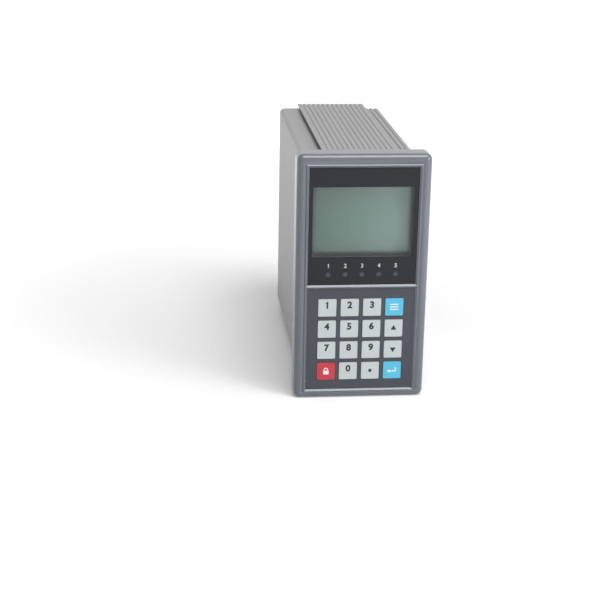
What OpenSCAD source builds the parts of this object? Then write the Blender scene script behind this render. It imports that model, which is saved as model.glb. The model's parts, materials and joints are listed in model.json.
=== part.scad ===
// Weigh feeder controller: a panel instrument with a graphic display, sixteen
// keys, a ribbed case behind the panel and plug-in terminals at the rear.
// Millimetres. +Z is up and the front faces -Y.

/* [Bezel] */
// Width of the front bezel
bezel_w = 84.2; // [80:0.2:100]
// Height of the front bezel
bezel_h = 160; // [150:0.5:190]
// How far the bezel stands out beyond each side of the case
flange_side = 5.1; // [4.5:0.1:6]
// How far the bezel stands out above and below the case
flange_end = 6; // [5.6:0.1:7]
// Depth of the bezel, from its face to its seat on the panel
bezel_t = 15; // [14:0.5:20]
// Radius of the bezel's front edges and corners
bezel_r = 4; // [2:0.25:5]
// Thickness of the bezel's outer wall
outer_wall = 2.4; // [1.6:0.1:3]
// Width and depth of the bevel around the lens and around the keypad
lip = 1.1; // [0.8:0.1:1.4]
// Flat top of the ridge between lens and keypad
ridge = 0.3; // [0.2:0.1:1]
// Border from the bezel's sides to the lens and the keypad
border_side = 7.7; // [7.5:0.1:9]
// Border from the bezel's top edge to the lens
border_top = 8.4; // [7.5:0.1:10]
// Border from the bezel's bottom edge to the keypad
border_bottom = 5.7; // [5:0.1:8]
// Thickness of the floor that carries the lens and the keypad
floor_t = 2; // [1.5:0.1:2.5]

/* [Display] */
// Share of the open height of the face that the lens takes
lens_share = 0.527; // [0.51:0.001:0.54]
// Thickness of the lens
lens_t = 2; // [1.5:0.1:2.4]
// Dark border of the lens beside the clear window
window_side = 2.6; // [2.4:0.1:5]
// Dark border of the lens above the clear window
window_down = 12.4; // [12:0.2:15]
// Dark border of the lens below the clear window, with the lamps
window_up = 17.8; // [16:0.2:19]
// How far the display's viewing area lies inside the clear window
view_in = 0.75; // [0.4:0.05:1.5]
// Thickness of the display glass
glass_t = 2; // [1.6:0.1:2.4]
// Thickness of the light guide behind the glass
backlight_t = 2.6; // [2:0.1:3]
// Diameter of a status lamp
lamp_d = 3; // [2.4:0.1:3.4]
// Distance from the lens's side to the outermost status lamp
lamp_side = 13; // [12:0.2:16]
// Height of the status lamps above the bottom of the lens
lamp_up = 6.9; // [6:0.1:7.4]

/* [Keypad] */
// Border from the keypad's sides to the keys
pad_side = 7.2; // [6.8:0.1:9]
// Border from the keypad's ends to the keys
pad_end = 6.7; // [6:0.1:9]
// Share of the distance between key centres that a key takes
key_share = 0.804; // [0.78:0.002:0.82]
// Distance a key travels
key_travel = 0.5; // [0.2:0.1:0.7]
// How far a key stands out of the keypad face
key_proud = 0.3; // [0.1:0.1:0.5]
// Thickness of the keypad face
overlay_t = 0.8; // [0.6:0.1:1]
// Height of a key switch
switch_h = 3.6; // [3:0.1:4]
// Side of a key switch
switch_w = 6; // [5.6:0.2:6.4]

/* [Case] */
// Length of the case behind the bezel
case_len = 172; // [165:1:200]
// Thickness of the case wall
case_wall = 2.2; // [2:0.1:2.5]
// Radius of the case's long edges
case_r = 3; // [2:0.25:4]
// Width of the raised band on the top and on the bottom
band_w = 48; // [47:0.5:50]
// Height of the raised band
band_h = 3.5; // [3.2:0.1:3.9]
// Wall thickness of the raised band
band_wall = 2.5; // [2.2:0.1:2.8]
// Grooves along the raised band
groove_count = 13; // [5:1:15]
// Width of a groove
groove_w = 1.5; // [0.8:0.1:1.8]
// Depth of a groove
groove_d = 0.6; // [0.3:0.1:0.8]
// Height of the clamp slot under the band's edges
slot_h = 2.3; // [1.8:0.1:2.6]
// Depth of the clamp slot under the band's edges
slot_d = 2.6; // [2:0.1:3]
// Outer radius of a screw channel in the case
channel_r = 3; // [2.6:0.1:3.2]
// Thickness of the rear panel
panel_t = 2; // [1.5:0.1:2.5]
// How far the rear panel lies inside the end of the case
panel_in = 1.3; // [0.5:0.1:3]
// Thickness of the gasket against the panel
gasket_t = 1.5; // [1:0.1:2]

/* [Rear] */
// Height of the mains inlet above the case's lower face
inlet_up = 19.6; // [19.4:0.1:20]
// Width of the mains inlet's flange
inlet_w = 50; // [47:0.5:51]
// Height of the mains inlet's flange
inlet_h = 22.4; // [22:0.2:23]
// Distance between the mains inlet's screws
inlet_screws_w = 40; // [38:0.5:42]
// Height of the power switch and the fuse above the case's lower face
switch_up = 43; // [42.6:0.1:43.6]
// Distance of the power switch and of the fuse from the case's corner screws
switch_side = 17.3; // [16.5:0.1:18]
// Distance between wire entries of a terminal block
pole_pitch = 5.08; // [5:0.02:5.08]
// Least distance from the highest terminal to the case's upper face
terminals_down = 5.6; // [5:0.1:20]
// How far the terminal plugs stand out of the rear panel
plug_out = 10.5; // [8:0.5:14]
// Height of the lowest terminal above the case's lower face
terminals_up = 56.6; // [55.4:0.2:57]
// Angle through which the power rocker tips
rocker_angle = 16; // [10:1:20]

/* [Boards] */
// Thickness of a circuit board
board_t = 1.6; // [1.2:0.1:1.8]
// Clearance beside a board in its rail
board_gap = 0.2; // [0.1:0.05:0.3]
// Thickness of the case wall beside a board rail
neck_wall = 2.4; // [2:0.1:2.8]
// Height of the mains transformer above its board
transformer_h = 25; // [20:0.5:27]

/* [Screws] */
// Shank radius of the case and board screws
screw_r = 1.45; // [1.2:0.05:1.6]
// Head radius of the case and board screws
head_r = 2.7; // [2.4:0.1:2.8]
// Head height of the case and board screws
head_h = 1.8; // [1.4:0.1:2]

/* [Hidden] */
$fn = 48;

// Colours
bezel_grey = [0.42, 0.44, 0.49];
lens_black = [0.13, 0.13, 0.15];
rubber_black = [0.1, 0.1, 0.1];
steel = [0.72, 0.73, 0.74];
glass_green = [0.52, 0.6, 0.56];
board_green = [0.08, 0.32, 0.18];
pad_grey = [0.3, 0.31, 0.34];
key_white = [0.82, 0.84, 0.84];
key_blue = [0.25, 0.7, 0.9];
key_red = [0.8, 0.18, 0.22];
case_grey = [0.66, 0.66, 0.66];
plastic_black = [0.09, 0.09, 0.1];
plug_green = [0.15, 0.55, 0.3];
copper = [0.7, 0.4, 0.2];

// Clearances
over = 1;
fit = 0.15;
seat = 0.2;
key_gap = 0.08;
bore_gap = 0.05;
free_gap = 0.3;

// Levels along Y, measured from the bezel's face
face_y = lip;
lens_y = face_y + lens_t;
lens_back = lens_y + floor_t;
pad_y = face_y + overlay_t;
pad_back = pad_y + floor_t;

// Case behind the bezel
case_w = bezel_w - 2 * flange_side;
case_h = bezel_h - 2 * flange_end;

// Face: recesses, clear window, viewing area and keys
recess_w = bezel_w - 2 * border_side;
lens_h = (bezel_h - border_top - border_bottom - 2 * lip - ridge) * lens_share;
window_w = recess_w - 2 * window_side;
window_h = lens_h - window_down - window_up;
view_w = window_w - 2 * view_in;
view_h = window_h - 2 * view_in;
key_count = 4;
lamp_count = 5;
lamp_pitch = (recess_w - 2 * lamp_side) / (lamp_count - 1);

// Levels along Z, measured from the bezel's lower edge
mid_z = bezel_h / 2;
lens_z1 = bezel_h - border_top;
lens_z0 = lens_z1 - lens_h;
pad_z1 = lens_z0 - 2 * lip - ridge;
pad_z0 = border_bottom;
divide_z = (lens_z0 + pad_z1) / 2;
case_z0 = mid_z - case_h / 2;
case_z1 = mid_z + case_h / 2;
keys_z = (pad_z0 + pad_z1) / 2;
window_z = lens_z1 - window_down - window_h / 2;
pitch_x = (recess_w - 2 * pad_side) / (key_count - 1 + key_share);
pitch_z = (pad_z1 - pad_z0 - 2 * pad_end) / (key_count - 1 + key_share);
key_w = pitch_x * key_share;
key_h = pitch_z * key_share;
lamp_z = lens_z0 + lamp_up;

// The hollow that runs through the case and into the bezel
cavity_w = case_w - 2 * case_wall;
cavity_z0 = case_z0 + case_wall;
cavity_z1 = case_z1 - case_wall;
channel_x = case_w / 2 - case_wall - channel_r;
channel_z = case_h / 2 - case_wall - channel_r;
channel_open = 0.5;
inner_r = 0.8;

// Display module, from the window rim to its board
rim_d = 2.6;
rim_t = 1.2;
rim_gap = 0.3;
sheet = 0.5;
frame_edge = 2.2;
frame_side = 2.1;
frame_w = view_w + 2 * frame_side;
frame_h = view_h + 2 * frame_edge;
stack_gap = 0.1;
frame_y = lens_back + rim_d + seat;
glass_y = frame_y + sheet + stack_gap;
backlight_y = glass_y + glass_t + stack_gap;
lcd_board_y = backlight_y + backlight_t + stack_gap;
lcd_post_r = 2.4;
lcd_post_z = frame_h / 2 + lcd_post_r + seat;
lcd_post_in = 7;
lcd_post_x = frame_w / 2 - lcd_post_in;
lcd_edge = 2.8;
lcd_board_h = 2 * (lcd_post_z + lcd_edge);
lcd_tab_w = 3;
lcd_tab_count = 3;

// Keypad
flange_out = 0.35;
flange_t = 0.9;
flange_gap = 0.1;
hole_out = 0.55;
stem_r = 1.7;
stem_in = 1.6;
switch_rise = 0.8;
key_front = face_y - key_proud;
flange_y = pad_y + flange_gap;
switch_y = pad_back + switch_rise;
pad_board_y = switch_y + switch_h;
switch_post_r = 2.4;
pad_post_x = cavity_w / 2 - head_r - 1.5 * seat;
pad_post_low = 18.5;
pad_post_high = 4.4;
pad_board_top = window_z - lcd_post_z - lcd_post_r - 3 * seat;
pad_board_bottom = cavity_z0 + 4 * seat;
pad_board_w = cavity_w - 6 * seat;
corner_in = channel_x - channel_r - 3 * seat;
corner_z = channel_z - channel_r - 3 * seat;

// Case
end_y = bezel_t + case_len;
panel_y1 = end_y - panel_in;
panel_y0 = panel_y1 - panel_t;
edge_t = band_h - slot_h;
neck_x = band_w / 2 - slot_d;
band_in = neck_x - neck_wall;
band_top = case_h / 2 + band_h - band_wall;
board_x = band_in - board_gap - board_t / 2;
fin_t = 1.2;
fin_d = 3.4;
groove_pitch = band_w / (groove_count + 1);
strip_w = case_w / 2 - band_w / 2;
strip_groove_shares = [0.36, 0.64];

// Bezel moulding details
core_gap = 0.8;
core_rib = 1.6;
core_count = 5;
core_front = 2;
core_end = 3;
boss_r = channel_r + seat;
screw_bore = screw_r + bore_gap;
screw_in = 8;
head_gap = 0.2;
gasket_edge = 0.6;
gasket_gap = 0.3;

// Rear connectors
terminals_h = case_h - terminals_up - terminals_down;
plug_w = 14;
plug_in = 7.4;
header_w = 8.6;
header_wall = 0.8;
header_len = 11;
pocket_d = 7.4;
block_edge = 0.6;
block_gap = 0.8;
pole_count = floor(((terminals_h - block_gap) / 2 - 2 * block_edge) / pole_pitch);
block_h = pole_count * pole_pitch + 2 * block_edge;
entry_w = 3.2;
entry_h = 3;
entry_d = 5;
entry_in = 5;
well_r = 1.9;
well_d = 1.4;
well_y = 4.6;
cut_gap = 0.4;
rear_gap = 0.3;
board_y0 = bezel_t + screw_in + 2 * seat;
board_y1 = panel_y0 - 3.5 * seat;
board_z = band_top - 1.5 * seat;
notch_rise = 10.6;
notch_z = case_z0 + switch_up + notch_rise;
power_notch = 18;
main_notch = 44;

inlet_t = 2.4;
inlet_body_w = 27.4;
inlet_body_h = 19.8;
inlet_deep = 16;
inlet_hole_w = 24.4;
inlet_hole_h = 17.2;
inlet_hole_d = 15;
inlet_corner = 4;
pin_w = 2;
pin_h = 4;
pin_x = 7;
pin_z = 2;
pin_len = 13;
tab_len = 7;
inlet_screw_r = 1.6;
inlet_z = case_z0 + inlet_up;
nut_h = 2.2;
nut_r = 2.9;

switch_z = case_z0 + switch_up;
switch_out = channel_x - switch_side;
rocker_flange_w = 14.6;
rocker_flange_h = 21;
rocker_flange_t = 1.8;
rocker_body_w = 12.4;
rocker_body_h = 18.8;
rocker_deep = 13;
rocker_hole_w = 10.2;
rocker_hole_h = 16.6;
rocker_hole_d = 10.4;
rocker_w = 9.6;
rocker_r = 7.8;
rocker_pin_r = 1;
rocker_pin_in = 0.8;
rocker_lift = 0.6;
rocker_back = 3.6;
rocker_rise = 2.2;

fuse_flange_r = 6.8;
fuse_flange_t = 1.8;
fuse_body_r = 5.8;
fuse_body_len = 32;
fuse_bore_r = 5;
fuse_bore_d = 30.4;
fuse_nut_r = 8;
fuse_nut_t = 3;
cap_r = 5.6;
cap_len = 6.4;
cap_flute_count = 12;
cap_flute_r = 0.6;
cap_slot_w = 1.4;
cap_slot_d = 1.6;
carrier_len = 9;
fuse_r = 2.6;
fuse_len = 20;
fuse_ferrule = 5;
fuse_in = 5;

dsub_w = 30.8;
dsub_h = 12.5;
dsub_t = 1;
dsub_shell_w = 17;
dsub_shell_h = 8.6;
dsub_shell_out = 5.8;
dsub_body_w = 19;
dsub_body_h = 10.6;
dsub_deep = 9;
dsub_slant = 1.2;
dsub_pin_r = 0.55;
dsub_pin_pitch = 2.77;
dsub_row = 1.42;
dsub_pin_d = 4;
dsub_screws = 25;
jack_r = 2.75;
jack_len = 5;
jack_bore = 1.2;
serial_z = case_z0 + terminals_up + 1.5 * block_h + block_gap;

stud_r = 2;
stud_out = 12;
stud_in = 6;
stud_nut_r = 4.04;
stud_nut_t = 3.2;
stud_x = channel_x - 1.5;
stud_z = switch_z;

// Mains transformer
core_len = 42;
core_z = 36;
core_share = 0.62;
limb_share = 0.24;
core_back = 74;
core_rise = 22;
core_at_y = bezel_t + core_back;
core_at_z = mid_z + core_rise;
winding_out = 5;
trans_foot = 1.2;

// Length of the whole part, to the rear of the terminal plugs
total_d = panel_y1 + plug_out;

module placed() {
    translate([0, -total_d / 2, 0]) children();
}

// Box between two corners
module span(a, b) {
    translate(a) cube(b - a);
}

// Outline in X and Z, extruded along Y
module slab_y(y0, y1) {
    translate([0, y1, 0]) rotate([90, 0, 0]) linear_extrude(y1 - y0) children();
}

// Outline in Y and Z, extruded along X
module slab_x(x0, x1) {
    translate([x0, 0, 0]) rotate([90, 0, 90]) linear_extrude(x1 - x0) children();
}

// Round bar along Y
module rod_y(r, y0, y1, x, z) {
    translate([x, y0, z]) rotate([-90, 0, 0]) cylinder(r = r, h = y1 - y0);
}

// Round bar along X
module rod_x(r, x0, x1, y, z) {
    translate([x0, y, z]) rotate([0, 90, 0]) cylinder(r = r, h = x1 - x0);
}

// Hexagonal bar along Y
module hex_y(r, y0, y1, x, z) {
    translate([x, y0, z]) rotate([-90, 0, 0]) cylinder(r = r, h = y1 - y0, $fn = 6);
}

// Rectangle about its middle with round corners
module rounded(w, h, r) {
    square([w - 2 * r, h], center = true);
    square([w, h - 2 * r], center = true);
    for (x = [-1, 1], y = [-1, 1]) translate([x * (w / 2 - r), y * (h / 2 - r)]) circle(r);
}

// Rectangle whose front corners, at v = 0, are round
module front_round(w, t, r) {
    translate([-w / 2, r]) square([w, t - r]);
    translate([r - w / 2, 0]) square([w - 2 * r, t]);
    for (x = [-1, 1]) translate([x * (w / 2 - r), r]) circle(r);
}

// Screw along +Y whose head starts at y
module screw_y(x, y, z, len) {
    difference() {
        rod_y(head_r, y, y + head_h, x, z);
        cross_slot(x, y, z);
    }
    rod_y(screw_r, y + head_h, y + head_h + len, x, z);
}

// Cross recess in a head whose outer face lies at y
module cross_slot(x, y, z) {
    slot_w = head_r / 4;
    slot_l = head_r * 1.1;
    for (turn = [0, 90])
        translate([x, y + head_h / 4, z]) rotate([0, turn, 0])
            cube([slot_l, head_h, slot_w], center = true);
}

// Screw along -Y whose head's outer face lies at y
module screw_back(x, y, z, len) {
    translate([x, y, z]) rotate([0, 0, 180]) translate([-x, -y, -z]) screw_y(x, y, z, len);
}

// The bezel's outer form, with round front edges and corners
module bezel_block() {
    intersection() {
        translate([0, 0, mid_z]) slab_y(0, bezel_t) rounded(bezel_w, bezel_h, bezel_r);
        linear_extrude(bezel_h) front_round(bezel_w, bezel_t, bezel_r);
        translate([bezel_w / 2, 0, mid_z]) rotate([0, -90, 0])
            linear_extrude(bezel_w) front_round(bezel_h, bezel_t, bezel_r);
    }
}

// Recess for the lens or the keypad, with a bevel all round its mouth
module face_recess(z0, z1, depth) {
    span([-recess_w / 2, -over, z0], [recess_w / 2, depth, z1]);
    intersection() {
        translate([0, 0, z0 - lip]) linear_extrude(z1 - z0 + 2 * lip) bevel(recess_w);
        translate([bezel_w / 2, 0, (z0 + z1) / 2]) rotate([0, -90, 0])
            linear_extrude(bezel_w) bevel(z1 - z0);
    }
}

// Trapezoid that opens towards the face
module bevel(w) {
    polygon([
        [-w / 2 - lip, 0], [-w / 2 - lip, -over], [w / 2 + lip, -over],
        [w / 2 + lip, 0], [w / 2, lip], [-w / 2, lip]
    ]);
}

// Pockets between the bezel's outer wall and the seat of the case
module core_pockets() {
    x0 = case_w / 2 + core_gap;
    x1 = bezel_w / 2 - outer_wall;
    z0 = case_z0 + core_end;
    step = (case_h - 2 * core_end + core_rib) / core_count;
    for (side = [-1, 1], i = [0 : core_count - 1])
        scale([side, 1, 1])
            span([x0, bezel_r + core_front, z0 + i * step],
                 [x1, bezel_t + over, z0 + (i + 1) * step - core_rib]);
}

// The four places where screws hold the bezel to the case
module at_channels() {
    for (x = [-1, 1], z = [-1, 1])
        translate([x * channel_x, 0, mid_z + z * channel_z]) children();
}

// Place of the key in a column, from the left, and a row, from the top
module at_key(col, row) {
    mid = (key_count - 1) / 2;
    translate([(col - mid) * pitch_x, 0, keys_z + (mid - row) * pitch_z]) children();
}

module at_keys() {
    for (c = [0 : key_count - 1], r = [0 : key_count - 1]) at_key(c, r) children();
}

module at_lamps() {
    for (i = [0 : lamp_count - 1])
        translate([(i - (lamp_count - 1) / 2) * lamp_pitch, 0, lamp_z]) children();
}

module at_lcd_posts() {
    for (x = [-1, 1], z = [-1, 1])
        translate([x * lcd_post_x, 0, window_z + z * lcd_post_z]) children();
}

module at_pad_posts() {
    for (x = [-1, 1], z = [pad_board_bottom + pad_post_low, pad_board_top - pad_post_high])
        translate([x * pad_post_x, 0, z]) children();
}

module front_bezel() {
    hole_add = 2 * flange_out + 2 * hole_out;
    rim_w = window_w + 2 * rim_gap;
    rim_h = window_h + 2 * rim_gap;
    color(bezel_grey) placed() difference() {
        union() {
            difference() {
                bezel_block();
                face_recess(lens_z0, lens_z1, lens_y);
                face_recess(pad_z0, pad_z1, pad_y);
                span([-cavity_w / 2, lens_back, divide_z],
                     [cavity_w / 2, bezel_t + over, cavity_z1]);
                span([-cavity_w / 2, pad_back, cavity_z0],
                     [cavity_w / 2, bezel_t + over, divide_z + over]);
                core_pockets();
            }
            // Step between the two floors
            span([-cavity_w / 2, pad_back, divide_z - floor_t / 2],
                 [cavity_w / 2, lens_back, divide_z + floor_t / 2]);
            // Screw bosses in the corners
            for (x = [-1, 1]) {
                rod_y(boss_r, pad_back, bezel_t, x * channel_x, mid_z - channel_z);
                rod_y(boss_r, lens_back, bezel_t, x * channel_x, mid_z + channel_z);
            }
            // Rim round the display window
            translate([0, 0, window_z]) slab_y(lens_back, lens_back + rim_d)
                square([rim_w + 2 * rim_t, rim_h + 2 * rim_t], center = true);
            at_lcd_posts() rod_y(lcd_post_r, lens_back, lcd_board_y, 0, 0);
            at_pad_posts() rod_y(switch_post_r, pad_back, pad_board_y, 0, 0);
        }
        translate([0, 0, window_z]) slab_y(lens_y - over, lcd_board_y)
            square([rim_w, rim_h], center = true);
        at_keys() slab_y(pad_y - over, pad_back + over)
            square([key_w + hole_add, key_h + hole_add], center = true);
        at_lamps() rod_y(lamp_d / 2 + fit, lens_y - over, lens_back + over, 0, 0);
        for (x = [-1, 1]) {
            rod_y(screw_bore, pad_y, bezel_t + over, x * channel_x, mid_z - channel_z);
            rod_y(screw_bore, lens_y, bezel_t + over, x * channel_x, mid_z + channel_z);
            rod_y(head_r + head_gap, pad_y, pad_y + head_h + head_gap,
                  x * channel_x, mid_z - channel_z);
            rod_y(head_r + head_gap, lens_y, lens_y + head_h + head_gap,
                  x * channel_x, mid_z + channel_z);
        }
        at_lcd_posts() rod_y(screw_bore, lens_back + floor_t, lcd_board_y + over, 0, 0);
        at_pad_posts() rod_y(screw_bore, pad_back + stack_gap, pad_board_y + over, 0, 0);
    }
}

module display_lens() {
    color(lens_black) placed() translate([0, 0, (lens_z0 + lens_z1) / 2])
        slab_y(face_y, lens_y)
            rounded(recess_w - 2 * fit, lens_h - 2 * fit, inner_r);
}

// Rubber ring between the bezel and the panel
module panel_gasket() {
    color(rubber_black) placed() translate([0, 0, mid_z])
        slab_y(bezel_t, bezel_t + gasket_t) difference() {
            rounded(bezel_w - 2 * gasket_edge, bezel_h - 2 * gasket_edge, bezel_r - gasket_edge);
            rounded(case_w + 2 * gasket_gap, case_h + 2 * gasket_gap, case_r);
            square([band_w + 2 * gasket_gap, case_h + 2 * band_h + 2 * gasket_gap],
                   center = true);
        }
}

// Four screws under the lens and the keypad that draw the bezel to the case
module bezel_screws() {
    color(steel) placed() for (x = [-1, 1]) {
        screw_y(x * channel_x, pad_y + head_gap, mid_z - channel_z,
                bezel_t - pad_y - head_h + screw_in);
        screw_y(x * channel_x, lens_y + head_gap, mid_z + channel_z,
                bezel_t - lens_y - head_h + screw_in);
    }
}

// Pressed steel frame that holds the display together
module lcd_frame() {
    color(steel) placed() translate([0, 0, window_z]) {
        difference() {
            slab_y(frame_y, lcd_board_y) rounded(frame_w, frame_h, inner_r);
            slab_y(frame_y + sheet, lcd_board_y + over)
                square([frame_w - 2 * sheet, frame_h - 2 * sheet], center = true);
            slab_y(frame_y - over, lcd_board_y) square([view_w, view_h], center = true);
        }
        // Tabs that hook through the board
        for (z = [-1, 1], i = [0 : lcd_tab_count - 1])
            translate([(i - (lcd_tab_count - 1) / 2) * view_w / lcd_tab_count, 0, 0])
                slab_y(lcd_board_y, lcd_board_y + board_t + sheet)
                    translate([0, z * (frame_h - sheet) / 2])
                        square([lcd_tab_w, sheet], center = true);
    }
}

module lcd_glass() {
    w = frame_w - 2 * sheet - 2 * stack_gap;
    h = frame_h - 2 * sheet - 2 * stack_gap;
    color(glass_green) placed() translate([0, 0, window_z])
        slab_y(glass_y, glass_y + glass_t) square([w, h], center = true);
}

module lcd_backlight() {
    w = frame_w - 2 * sheet - 2 * stack_gap;
    h = frame_h - 2 * sheet - 2 * stack_gap;
    color(key_white) placed() translate([0, 0, window_z])
        slab_y(backlight_y, backlight_y + backlight_t) square([w, h], center = true);
}

module lcd_board() {
    color(board_green) placed() difference() {
        translate([0, 0, window_z]) slab_y(lcd_board_y, lcd_board_y + board_t) difference() {
            square([cavity_w - 6 * seat, lcd_board_h], center = true);
            for (z = [-1, 1], i = [0 : lcd_tab_count - 1])
                translate([(i - (lcd_tab_count - 1) / 2) * view_w / lcd_tab_count,
                           z * (frame_h - sheet) / 2])
                    square([lcd_tab_w + 2 * fit, sheet + 2 * fit], center = true);
        }
        at_lcd_posts() rod_y(screw_bore, lcd_board_y - over, lcd_board_y + 2 * over, 0, 0);
        for (x = [-1, 1])
            translate([x * cavity_w / 2, 0, mid_z + case_h / 2])
                slab_y(lcd_board_y - over, lcd_board_y + board_t + over)
                    square([cavity_w - 2 * corner_in, case_h - 2 * corner_z], center = true);
    }
}

module lcd_screws() {
    len = board_t + (lcd_board_y - lens_back - floor_t) * 0.8;
    color(steel) placed() at_lcd_posts()
        screw_back(0, lcd_board_y + board_t + head_h, 0, len);
}

// Five lamps that stand on the keypad board and look through the lens
module status_lamps() {
    body_y = lens_y + lamp_d / 2 + fit;
    color(lens_black) placed() at_lamps() {
        difference() {
            translate([0, body_y, 0]) sphere(lamp_d / 2);
            span([-lamp_d, body_y, -lamp_d], [lamp_d, body_y + lamp_d, lamp_d]);
        }
        rod_y(lamp_d / 2, body_y, pad_board_y, 0, 0);
    }
}

module keypad_overlay() {
    color(pad_grey) placed() difference() {
        translate([0, 0, keys_z]) slab_y(face_y, pad_y)
            rounded(recess_w - 2 * fit, pad_z1 - pad_z0 - 2 * fit, inner_r);
        at_keys() slab_y(face_y - over, pad_y + over)
            square([key_w + 2 * key_gap, key_h + 2 * key_gap], center = true);
    }
}

module keypad_board() {
    color(board_green) placed() difference() {
        span([-pad_board_w / 2, pad_board_y, pad_board_bottom],
             [pad_board_w / 2, pad_board_y + board_t, pad_board_top]);
        for (x = [-1, 1])
            translate([x * cavity_w / 2, 0, mid_z - case_h / 2])
                slab_y(pad_board_y - over, pad_board_y + board_t + over)
                    square([cavity_w - 2 * corner_in, case_h - 2 * corner_z], center = true);
        at_pad_posts() rod_y(screw_bore, pad_board_y - over, pad_board_y + 2 * over, 0, 0);
    }
}

module keypad_screws() {
    color(steel) placed() at_pad_posts()
        screw_back(0, pad_board_y + board_t + head_h, 0,
                   board_t + (pad_board_y - pad_back) * 0.8);
}

// Sixteen key switches, each open in the middle for its key's stem
module key_switches() {
    color(plastic_black) placed() at_keys() difference() {
        slab_y(switch_y, pad_board_y) square(switch_w, center = true);
        rod_y(stem_r + free_gap, switch_y - over,
              switch_y + stem_in - switch_rise + key_travel + 2 * free_gap, 0, 0);
    }
}

// One key: the cap in the keypad face, the flange behind it and the stem
module key(col, row, colour) {
    color(colour) placed() at_key(col, row) {
        slab_y(key_front, flange_y) rounded(key_w, key_h, inner_r);
        slab_y(flange_y, flange_y + flange_t)
            square([key_w + 2 * flange_out, key_h + 2 * flange_out], center = true);
        rod_y(stem_r, flange_y + flange_t, switch_y + stem_in - switch_rise, 0, 0);
    }
}

// Outer outline of the case, about its middle, with the clamp slots
module case_outline() {
    difference() {
        union() {
            rounded(case_w, case_h, case_r);
            square([band_w, case_h + 2 * band_h], center = true);
        }
        for (x = [-1, 1], z = [-1, 1]) scale([x, z])
            translate([neck_x, case_h / 2]) square([slot_d + over, slot_h]);
    }
}

// Hollow of the case, about its middle
module case_hollow() {
    rounded(case_w - 2 * case_wall, case_h - 2 * case_wall, inner_r);
    square([2 * band_in, 2 * band_top], center = true);
}

// Grooves in the raised band and in the strip on its right
module case_grooves() {
    for (z = [-1, 1]) scale([1, z]) {
        for (i = [1 : groove_count])
            translate([-band_w / 2 + i * groove_pitch, case_h / 2 + band_h]) groove();
        for (share = strip_groove_shares)
            translate([band_w / 2 + share * strip_w, case_h / 2]) groove();
    }
}

// Groove with slanting sides, its mouth at v = 0
module groove() {
    polygon([
        [-groove_w / 2, over], [-groove_w / 2, 0], [-groove_w / 4, -groove_d],
        [groove_w / 4, -groove_d], [groove_w / 2, 0], [groove_w / 2, over]
    ]);
}

// Screw channels on one side of the case, with the bore along the case
module channels(side) {
    for (z = [-1, 1]) translate([side * channel_x, z * channel_z]) difference() {
        union() {
            circle(channel_r);
            scale([side, z]) square(channel_r + channel_open);
        }
        circle(screw_bore);
    }
}

// Ribbed shell: right wall, raised bands and board rails
module case_shell() {
    color(case_grey) placed() translate([0, 0, mid_z]) {
        slab_y(bezel_t, end_y) difference() {
            case_outline();
            case_hollow();
            case_grooves();
            translate([-case_w / 2 - over, -case_h / 2 - over])
                square([case_w / 2 + over - neck_x, case_h + 2 * over]);
            translate([-case_w / 2 - over, -case_h / 2])
                square([case_w / 2 + over - neck_x, case_h]);
        }
        slab_y(bezel_t, panel_y0) channels(1);
        slab_y(bezel_t, panel_y0) for (x = [-1, 1], z = [-1, 1]) scale([x, z])
            translate([band_in - 2 * board_gap - board_t - fin_t, band_top - fin_d])
                square([fin_t, fin_d]);
    }
}

// Smooth cover: left wall and the flat strips beside the raised bands
module side_cover() {
    color(case_grey) placed() translate([0, 0, mid_z]) {
        slab_y(bezel_t, end_y) intersection() {
            difference() {
                rounded(case_w, case_h, case_r);
                rounded(case_w - 2 * case_wall, case_h - 2 * case_wall, inner_r);
            }
            translate([-case_w / 2 - over, -case_h / 2 - over])
                square([case_w / 2 + over - neck_x - fit, case_h + 2 * over]);
        }
        slab_y(bezel_t, panel_y0) channels(-1);
    }
}

// Places of the terminal blocks: side, then lower or upper
module at_blocks() {
    for (x = [-1, 1], i = [0, 1])
        translate([0, 0, case_z0 + terminals_up + i * (block_h + block_gap)])
            scale([x, 1, 1]) children();
}

// Chamfered rectangle of the mains inlet, its two upper corners cut
module inlet_outline(w, h, c) {
    polygon([
        [-w / 2, -h / 2], [w / 2, -h / 2], [w / 2, h / 2 - c],
        [w / 2 - c, h / 2], [c - w / 2, h / 2], [-w / 2, h / 2 - c]
    ]);
}

// Outline of the serial connector's shell, wider on its left
module dsub_outline(w, h) {
    polygon([
        [-h / 2, -w / 2], [h / 2, -w / 2 + dsub_slant],
        [h / 2, w / 2 - dsub_slant], [-h / 2, w / 2]
    ]);
}

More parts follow.
